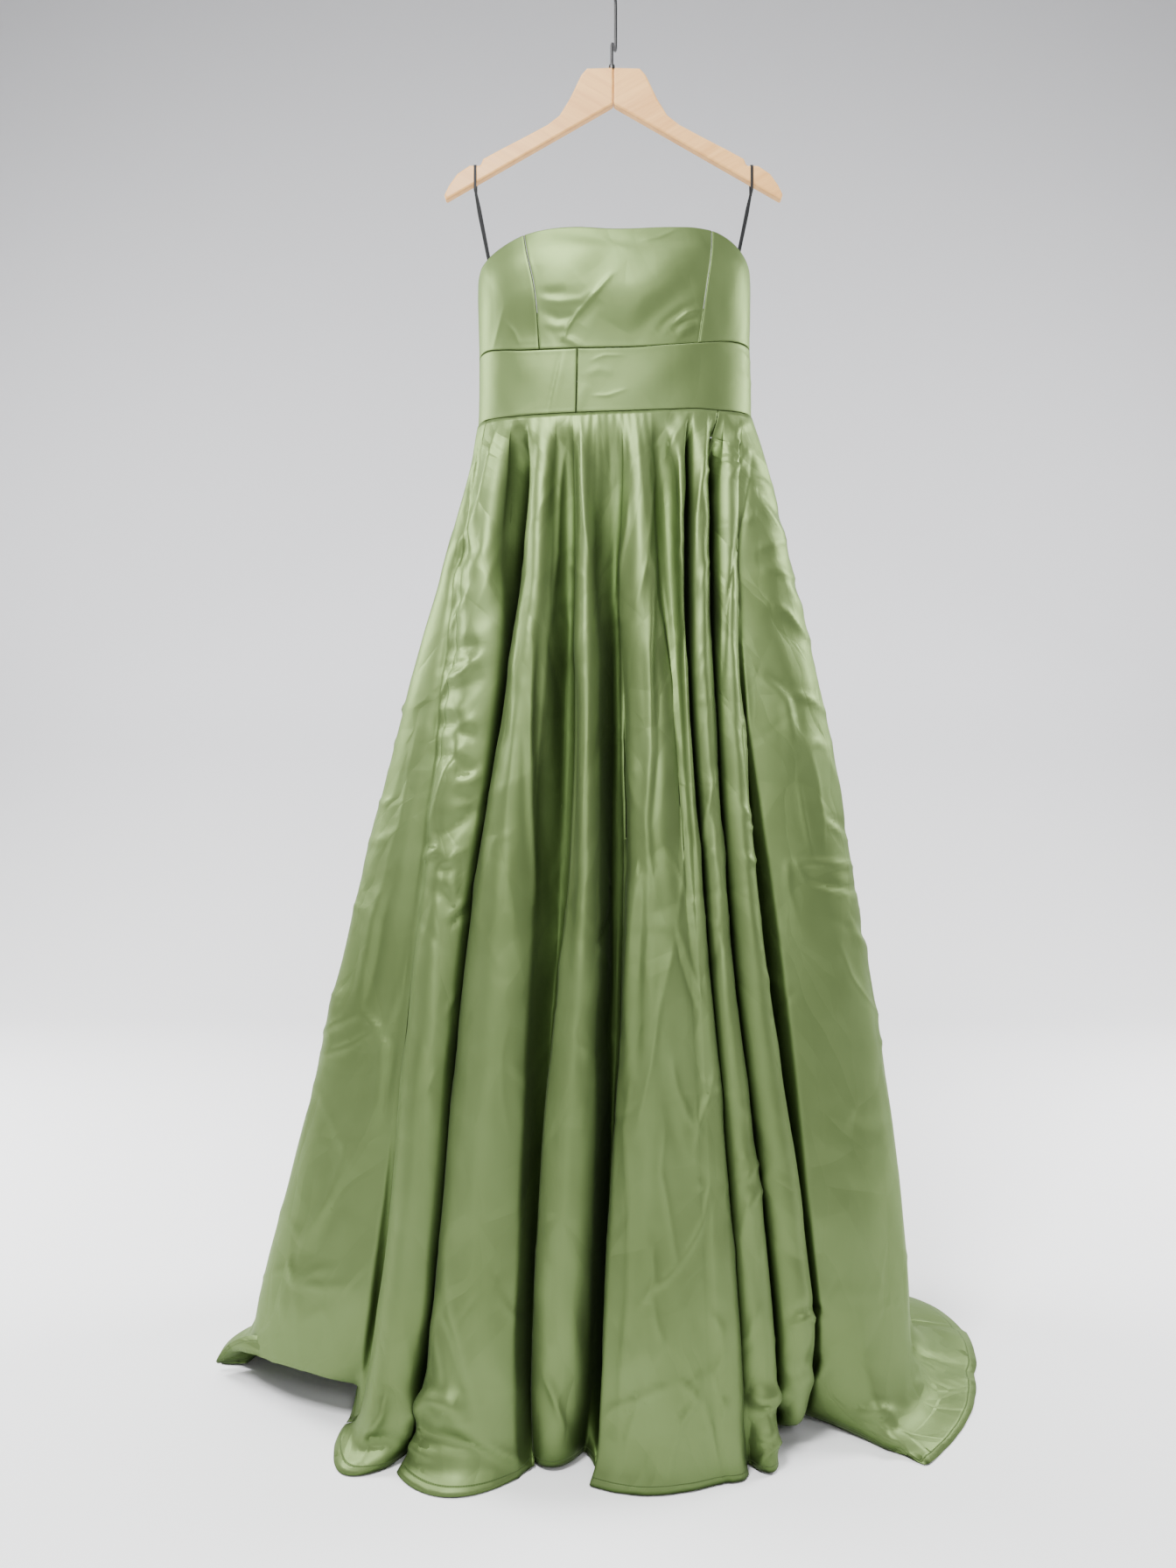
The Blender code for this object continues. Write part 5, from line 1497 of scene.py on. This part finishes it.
@dataclass
class SkirtForm:
    """The folded skirt as one fine grid, worked out from the same tables as the solid."""

    front_spacing: float = 0.0026
    side_spacing: float = 0.0036
    back_spacing: float = 0.0062
    fold_spacing: float = 0.0064
    row_spacing: float = 0.0048
    pleat_growth: float = 1.1
    panel_roll: float = 0.24
    roll_stations: Tuple[float, ...] = (0.0, 1.0, 3.0, 5.0, 7.0)
    roll_most: Tuple[float, ...] = (0.010, 0.016, 0.024, 0.022, 0.014)
    rolled_depth: float = 0.016
    panel_flatness: float = 1.9
    fold_softness: float = 0.6
    fold_least: float = 0.001
    back_depths: Tuple[float, ...] = (0.35, 1.0, 1.15)
    names: List[str] = field(default_factory=list)
    starts: List[int] = field(default_factory=list)

    def ring(self, station: np.ndarray) -> List[np.ndarray]:
        """Height and ring sizes at places between stations."""
        places = np.arange(len(STATIONS))
        return [smooth(places, [getattr(row, name) for row in STATIONS], station)
                for name in ("height", "left", "right", "front", "back", "squareness")]

    def bearing_across(self, across: np.ndarray, station: np.ndarray) -> np.ndarray:
        """Bearing on the front of points that far right of the centre line."""
        _, left, right, _, _, squareness = self.ring(station)
        share = np.clip(across / np.where(across < 0, left, right), -0.999, 0.999)
        return 180.0 + np.degrees(np.sign(share) * np.arcsin(np.abs(share) ** (0.5 * squareness)))

    def degree_length(self, bearing: np.ndarray, ring: Sequence[np.ndarray]) -> np.ndarray:
        """Length of one degree of a ring at a bearing."""
        low, high = (ring_point(bearing + half, *ring) for half in (-0.5, 0.5))
        return np.hypot(high[0] - low[0], high[1] - low[1])

    def folds(self, station: np.ndarray) -> List[Tuple[str, np.ndarray, np.ndarray, np.ndarray, float]]:
        """Name, bearing, width, depth and lean of every fold, in order round the gown."""
        rows = []
        for fold in FRONT_FOLDS:
            across, width, depth = (smooth(FOLD_STATIONS, values, station)
                                    for values in (fold.across, fold.width, fold.depth))
            rows.append((fold.name, self.bearing_across(across, station), width, depth, fold.lean))
        for fold in BACK_FOLDS:
            bearing = smooth((0.0, 7.0), (fold.bearing_waist, fold.bearing_hem), station)
            depths = [share * fold.depth for share in self.back_depths] + [fold.hem_depth]
            depth = smooth((0.0, 2.0, 5.0, 7.0), depths, station)
            rows.append((fold.name, bearing, fold.width + 0.0 * depth, depth, 0.0))
        return sorted(rows, key=lambda row: float(np.mean(row[1])))

    def panel(self, name: str, share: np.ndarray, rolls: Tuple[np.ndarray, np.ndarray],
              station: np.ndarray) -> Tuple[np.ndarray, np.ndarray]:
        """How far a panel lies in from the ring, and its lift.

        Args:
            name: the fold at its left.
            share: how far across the panel.
            rolls: how far its left and right edges roll in.
            station: places down the cloth.

        Returns:
            The inset and the lift.
        """
        hem = PANEL_HEMS.get(name, PanelHem())
        hem_share = np.clip((station - hem.start) / (7.0 - hem.start), 0.0, 1.0) ** 1.5
        roll = np.where(share < 0.5, rolls[0], rolls[1])
        weights = ((1 - share) * (1 - 2 * share), 4 * share * (1 - share), share * (2 * share - 1))
        if hem.outline:
            inward = hem_share * np.interp(share, *zip(*hem.outline))
        else:
            inward = hem_share * sum(weight * value for weight, value in zip(weights, hem.inward))
        lift = hem_share * sum(weight * value for weight, value in zip(weights, hem.lift))
        return roll * np.abs(2.0 * share - 1.0) ** self.panel_flatness + inward, lift

    def panel_spacing(self, name: str) -> float:
        """Distance between a panel's columns at the calf: finest where the photograph looks."""
        if name in ("left_side", "right_slit", "right_hollow"):
            return self.side_spacing
        return self.front_spacing if name in [fold.name for fold in FRONT_FOLDS] else self.back_spacing

    def row_places(self) -> np.ndarray:
        """Places down the cloth, evenly spaced along it, the hem first."""
        fine = np.linspace(0.0, 7.0, 1401)
        height, _, _, front, _, _ = self.ring(fine)
        steps = np.hypot(np.diff(height), np.diff(front))
        length = np.concatenate([[0.0], np.cumsum(steps)])
        count = int(length[-1] / self.row_spacing) // 2 * 2 + 1
        return np.interp(np.linspace(length[-1], 0.0, count), length, fine)

    def grid(self) -> np.ndarray:
        """Works out the skirt's outer face, the hem row first, its columns once round.

        Returns:
            The points. The names and first columns of the folds and panels are kept.
        """
        station = self.row_places()[:, None]
        height, *ring = self.ring(station)
        growth = np.clip(station / self.pleat_growth, 0.0, 1.0)
        growth = growth * growth * (3.0 - 2.0 * growth)
        tip_share = np.clip((station - 5.0) / 2.0, 0.0, 1.0) ** 3
        folds = self.folds(station)
        degrees = [self.degree_length(fold[1], ring) for fold in folds]
        spans = [np.mod(after[1] - here[1], 360.0) for here, after in zip(folds, folds[1:] + folds[:1])]
        most = smooth(self.roll_stations, self.roll_most, station)
        rolls = [growth * np.minimum(self.panel_roll * span * degree, most)
                 for span, degree in zip(spans, degrees)]
        deep = [np.clip(fold[3] / self.rolled_depth, 0.0, 1.0) for fold in folds]
        rolls = [(roll * here, roll * after) for roll, here, after in zip(rolls, deep, deep[1:] + deep[:1])]
        calf = int(np.argmin(np.abs(station[:, 0] - 4.0)))
        bearings, insets, lifts = [], [], []
        count = 0
        for index, (name, bearing, width, depth, lean) in enumerate(folds):
            half = 0.5 * width / degrees[index]
            following = (index + 1) % len(folds)
            half_after = 0.5 * folds[following][2] / degrees[following]
            before_in, before_lift = self.panel(folds[index - 1][0], 1.0, rolls[index - 1], station)
            after_in, after_lift = self.panel(name, 0.0, rolls[index], station)
            walls = 2.0 * float(depth[calf, 0]) + float(width[calf, 0])
            steps = max(8, int(walls / self.fold_spacing))
            step = 0.5 * (1.0 - np.cos(np.pi * np.arange(steps) / steps))[None, :]
            bulge = growth * np.sin(np.pi * step) ** self.fold_softness
            level = before_in + (after_in - before_in) * step
            bearings.append(bearing + (2.0 * step - 1.0) * half + bulge * lean / degrees[index])
            insets.append(level + np.maximum(depth - level, self.fold_least) * bulge)
            lifts.append(before_lift + (after_lift - before_lift) * step)
            self.names.append(name)
            self.starts.append(count)
            count += steps
            length = float((spans[index] * degrees[index])[calf, 0])
            steps = max(4, int(length / self.panel_spacing(name)))
            share = (np.arange(steps) / steps)[None, :]
            inset, lift = self.panel(name, share, rolls[index], station)
            bearings.append(bearing + half + share * (spans[index] - half - half_after))
            insets.append(inset)
            lifts.append(lift + 0.0 * inset)
            self.names.append(name + "_panel")
            self.starts.append(count)
            count += steps
        bearings, insets, lifts = (np.concatenate(values, axis=1) for values in (bearings, insets, lifts))
        for tip in HEM_TIPS:
            away = np.abs(np.mod(bearings, 360.0) - tip.bearing)
            insets = insets - tip_share * tip.reach * np.exp(-away / tip.width)
        x, y, nx, ny = ring_point(bearings, *ring)
        waist = TORSO.height_of(TORSO.waist, bearings) - PIECE_GAP
        settle = np.clip(1.0 - station / 2.0, 0.0, 1.0)
        z = height + lifts + (waist - STATIONS[0].height) * settle
        return np.stack([x - nx * insets, y - ny * insets, z], axis=-1)

    def column(self, name: str) -> int:
        """First column of a named fold or panel."""
        return self.starts[self.names.index(name)]


@dataclass
class Skirt:
    """Full skirt pleated into the band: a front and two backs."""

    form: SkirtForm = field(default_factory=SkirtForm)
    corner_passes: int = 1
    row_passes: int = 1
    ripple_height: float = 0.0004
    ripple_seed: int = 7
    front_creases: Tuple[int, int, Pixel, Pixel] = (150, 11, (290.0, 1040.0), (540.0, 1600.0))
    back_creases: Tuple[int, int, Pixel, Pixel] = (170, 23, (290.0, 1060.0), (540.0, 1600.0))
    pieces: List[bpy.types.Object] = field(default_factory=list)

    def surface(self) -> np.ndarray:
        """The whole skirt with its corners softened and its wrinkles pressed in."""
        grid = self.form.grid()
        grid = blur(grid, self.corner_passes, 1, ring=True)
        grid = blur(grid, self.row_passes, 0)
        closed = np.concatenate([grid[:, -1:], grid, grid[:, :1]], axis=1)
        wave = ripple(closed, self.ripple_height, self.ripple_seed)
        closed = closed + grid_normals(closed) * wave[..., None]
        closed = press(closed, SKIRT_VALLEYS + SKIRT_WRINKLES)
        closed = press(closed, scattered(*self.front_creases))
        closed = press(closed, SKIRT_WRINKLES, from_behind=True)
        grid = press(closed, scattered(*self.back_creases), from_behind=True)[:, 1:-1]
        grid[..., 2] = np.maximum(grid[..., 2], HEM_HEIGHT * 0.5 + CLOTH)
        return grid

    def build(self) -> List[bpy.types.Object]:
        """Cuts the skirt at its seams and makes the three pieces."""
        grid = self.surface()
        count = grid.shape[1]
        left = self.form.column("left_pocket_panel")
        right = (self.form.column("right_slit") + self.form.column("right_slit_panel")) // 2
        back = self.form.column("back_8_panel")
        back += (count - back) // 2
        spans = (
            ("skirt_back_left", back - count, left, (1.52, 1.25), 1.12),
            ("skirt_front", left, right, (0.90, 1.23), 0.90),
            ("skirt_back_right", right, back, (1.60, 1.27), 1.37),
        )
        for name, start, end, flat, area in spans:
            columns = np.mod(np.arange(start, end + 1), count)
            piece = Mesh.sheet(name + "_satin", self.part_edges(grid[:, columns]))
            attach(piece, BODY)
            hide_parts(name)
            self.pieces.append(piece)
            LOG.info("%s: %d faces", piece.name, len(piece.data.polygons))
        return self.pieces

    def part_edges(self, grid: np.ndarray) -> np.ndarray:
        """Draws a piece's two upright edges in by half the gap of a seam."""
        grid = grid.copy()
        for edge, inner in ((0, 1), (-1, -2)):
            along = grid[:, inner] - grid[:, edge]
            along /= np.linalg.norm(along, axis=-1, keepdims=True)
            grid[:, edge] += along * 0.5 * PIECE_GAP
        return grid


BOX_FACES = ((0, 2, 3, 1), (4, 5, 7, 6), (0, 1, 5, 4), (2, 6, 7, 3), (0, 4, 6, 2), (1, 3, 7, 5))


@dataclass
class Trim:
    """Ribbon loops and zip: the solids' own shapes with soft woven edges, and the zip's teeth.

    Attributes:
        edge: rounding of the ribbon's edges.
        tape_edge: rounding of the tape's edges.
        teeth_pitch: from one tooth to the next.
        teeth_margin: bare tape above and below the teeth.
        teeth_stagger: how far the teeth stand left and right of the middle, by turns.
        teeth_edge: rounding of a tooth's edges.
        teeth_clearance: how far the teeth stand clear of the tape.
        tooth: width, depth and height of a tooth.
        pieces: the pieces made.
    """

    edge: float = 0.00022
    tape_edge: float = 0.0001
    teeth_pitch: float = 0.0014
    teeth_margin: float = 0.004
    teeth_stagger: float = 0.0006
    teeth_edge: float = 0.00025
    teeth_clearance: float = 0.0001
    tooth: Tuple[float, float, float] = (0.0034, 0.0009, 0.0008)
    pieces: List[bpy.types.Object] = field(default_factory=list)

    def soften(self, name: str, new_name: str, rounding: float) -> bpy.types.Object:
        """Makes a finer piece from a solid's mesh, its edges rounded, in the solid's place.

        Args:
            name: the solid's node.
            new_name: the piece's name.
            rounding: radius of its edges.

        Returns:
            The piece.
        """
        node = frame["nodes"][name]
        piece = bpy.data.objects.new(new_name, node.data.copy())
        bpy.context.scene.collection.objects.link(piece)
        piece.matrix_world = node.matrix_world.copy()
        soft = piece.modifiers.new("rounded_edges", "BEVEL")
        soft.width = rounding
        soft.segments = 3
        soft.limit_method = "ANGLE"
        piece.data.shade_smooth()
        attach(piece, BODY)
        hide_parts(name)
        self.pieces.append(piece)
        return piece

    def build_loops(self) -> None:
        """Makes the two ribbon loops."""
        loops = [self.soften(name, name + "_ribbon", self.edge)
                 for name in ("loop_left", "loop_right")]
        BLACK_RIBBON.material().dress(*loops)

    def build_zip(self) -> None:
        """Makes the zip's tape with its row of teeth down the middle."""
        tape = self.soften("zip_tape", "zip_tape_woven", self.tape_edge)
        ZIP_TAPE.material().dress(tape)
        points = np.array([tape.matrix_world @ vertex.co for vertex in tape.data.vertices])
        order = np.argsort(points[:, 2])
        heights, depths = points[order, 2], points[order, 1]
        low, high = heights[0] + self.teeth_margin, heights[-1] - self.teeth_margin
        count = int((high - low) / self.teeth_pitch)
        wide, deep, tall = (0.5 * size for size in self.tooth)
        corners, faces = [], []
        levels = np.unique(np.round(heights, 4))
        middles = np.array([depths[np.abs(heights - level) < 0.0003].min() for level in levels])
        for index in range(count):
            z = low + (index + 0.5) * self.teeth_pitch
            y = float(np.interp(z, levels, middles)) - deep - self.teeth_clearance
            x = self.teeth_stagger * (1 if index % 2 else -1)
            first = len(corners)
            corners += [(x + a * wide, y + b * deep, z + c * tall)
                        for c in (-1, 1) for b in (-1, 1) for a in (-1, 1)]
            faces += [tuple(first + corner for corner in face) for face in BOX_FACES]
        teeth = Mesh.add("zip_teeth", corners, faces)
        soft = teeth.modifiers.new("rounded_edges", "BEVEL")
        soft.width = self.teeth_edge
        soft.segments = 2
        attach(teeth, BODY)
        ZIP_TAPE.material().dress(teeth)
        self.pieces.append(teeth)


@dataclass(frozen=True)
class Lamp:
    """A square soft light: its name, middle, side, power in watts and the point that it faces."""

    name: str
    place: Point
    size: float
    power: float
    target: Point

    def hang(self) -> None:
        """Adds the light to the scene."""
        data = bpy.data.lights.new(self.name, "AREA")
        data.shape = "SQUARE"
        data.size = self.size
        data.energy = self.power
        lamp = bpy.data.objects.new(self.name, data)
        bpy.context.scene.collection.objects.link(lamp)
        lamp.location = self.place
        lamp.rotation_euler = (Vector(self.target) - Vector(self.place)).to_track_quat("-Z", "Y").to_euler()


@dataclass
class Studio:
    """Plain pale floor that curves up into a backdrop, painted darker above the floor as painted shade, and
    soft light.

    Attributes:
        floor_colour: colour of the floor.
        shaded_wall_colour: colour of the backdrop, darker than the floor as painted shade.
        paint_roughness: how dull both are.
        shade_fade_height: height over which the floor's colour turns into the painted shade of the backdrop.
        reach: how far the floor goes to each side and the backdrop goes up.
        depth_behind: where the floor starts to curve up, behind the gown.
        curve: radius of that curve.
        curve_steps: number of flats in it.
        sky_colour: colour of the light from all round.
        sky_strength: its strength.
        lamps: the soft lights.
    """

    floor_colour: Colour = (0.95, 0.95, 0.965)
    shaded_wall_colour: Colour = (0.74, 0.74, 0.765)
    paint_roughness: float = 0.9
    shade_fade_height: float = 0.9
    reach: float = 6.0
    depth_behind: float = 2.2
    curve: float = 1.2
    curve_steps: int = 16
    sky_colour: Tuple[float, float, float, float] = (0.95, 0.96, 1.0, 1.0)
    sky_strength: float = 0.06
    lamps: Tuple[Lamp, ...] = (
        Lamp("key", (-0.70, -1.62, 0.72), 0.6, 108.0, (0.0, 0.0, -0.62)),
        Lamp("front", (0.35, -2.20, -0.30), 0.5, 17.0, (0.05, -0.2, -0.95)),
        Lamp("low", (-0.7, -3.0, -0.9), 1.2, 12.0, (0.0, 0.0, -1.1)),
        Lamp("overhead", (-0.2, -0.8, 2.2), 3.0, 88.0, (0.0, -0.2, -1.7)),
        Lamp("floor_left", (-2.2, 0.6, 0.1), 1.0, 90.0, (-1.3, 0.2, -1.77)),
        Lamp("floor_right", (2.2, 0.6, 0.1), 1.0, 90.0, (1.3, 0.2, -1.77)),
        Lamp("wall_left", (-2.6, 0.9, -0.2), 1.6, 60.0, (-0.6, 3.3, -0.6)),
        Lamp("wall_right", (2.6, 0.9, -0.2), 1.6, 64.0, (0.6, 3.3, -0.6)),
    )

    def build(self) -> None:
        """Makes the backdrop and the lights."""
        floor = -HOOK_SEAT_HEIGHT
        profile = [(-self.reach, floor), (self.depth_behind, floor)]
        for step in range(1, self.curve_steps + 1):
            angle = 0.5 * math.pi * step / self.curve_steps
            profile.append((self.depth_behind + self.curve * math.sin(angle),
                            floor + self.curve * (1.0 - math.cos(angle))))
        profile.append((self.depth_behind + self.curve, floor + self.reach))
        points = [(side * self.reach, y, z) for y, z in profile for side in (-1.0, 1.0)]
        faces = [(2 * k, 2 * k + 1, 2 * k + 3, 2 * k + 2) for k in range(len(profile) - 1)]
        backdrop = Mesh.add("backdrop", points, faces)
        nodes = Nodes.start("backdrop_paint_and_painted_shade")
        place = nodes.add("ShaderNodeTexCoord")
        split = nodes.add("ShaderNodeSeparateXYZ")
        nodes.wire(place.outputs["Object"], split.inputs["Vector"])
        # Painted shade: the backdrop darkens from the floor's colour to the wall's over the fade height.
        rise = nodes.spread(split.outputs["Z"], floor, floor + self.shade_fade_height, 0.0, 1.0)
        nodes.surface(Base_Color=nodes.tones(rise, ((0.0, self.floor_colour), (1.0, self.shaded_wall_colour))),
                      Roughness=self.paint_roughness)
        nodes.dress(backdrop)
        for lamp in self.lamps:
            lamp.hang()
        world = bpy.data.worlds.new("studio")
        bpy.context.scene.world = world
        world.use_nodes = True
        sky = world.node_tree.nodes["Background"]
        sky.inputs["Color"].default_value = self.sky_colour
        sky.inputs["Strength"].default_value = self.sky_strength


def main() -> None:
    """Builds and dresses the gown, the hanger and the studio."""
    logging.basicConfig(level=logging.INFO, format="%(name)s: %(message)s")
    PHOTO.camera()
    DuchessSatin().material().dress(*Bodice().build())
    DuchessSatin("duchess_satin_hemmed", True, 1.0).material().dress(*Skirt().build())
    trim = Trim()
    trim.build_loops()
    trim.build_zip()
    nodes = frame["nodes"]
    PaleWood().material("beech_left", -0.52).dress(nodes["hanger_arm_left"])
    PaleWood().material("beech_right", 0.52).dress(nodes["hanger_arm_right"])
    BLACK_COAT.material().dress(nodes["hanger_hook"], nodes["hanger_collar"])
    ZIP_ENAMEL.material().dress(nodes["zip_slider"], nodes["zip_pull"])
    Studio().build()


if __name__ == "__main__":
    main()
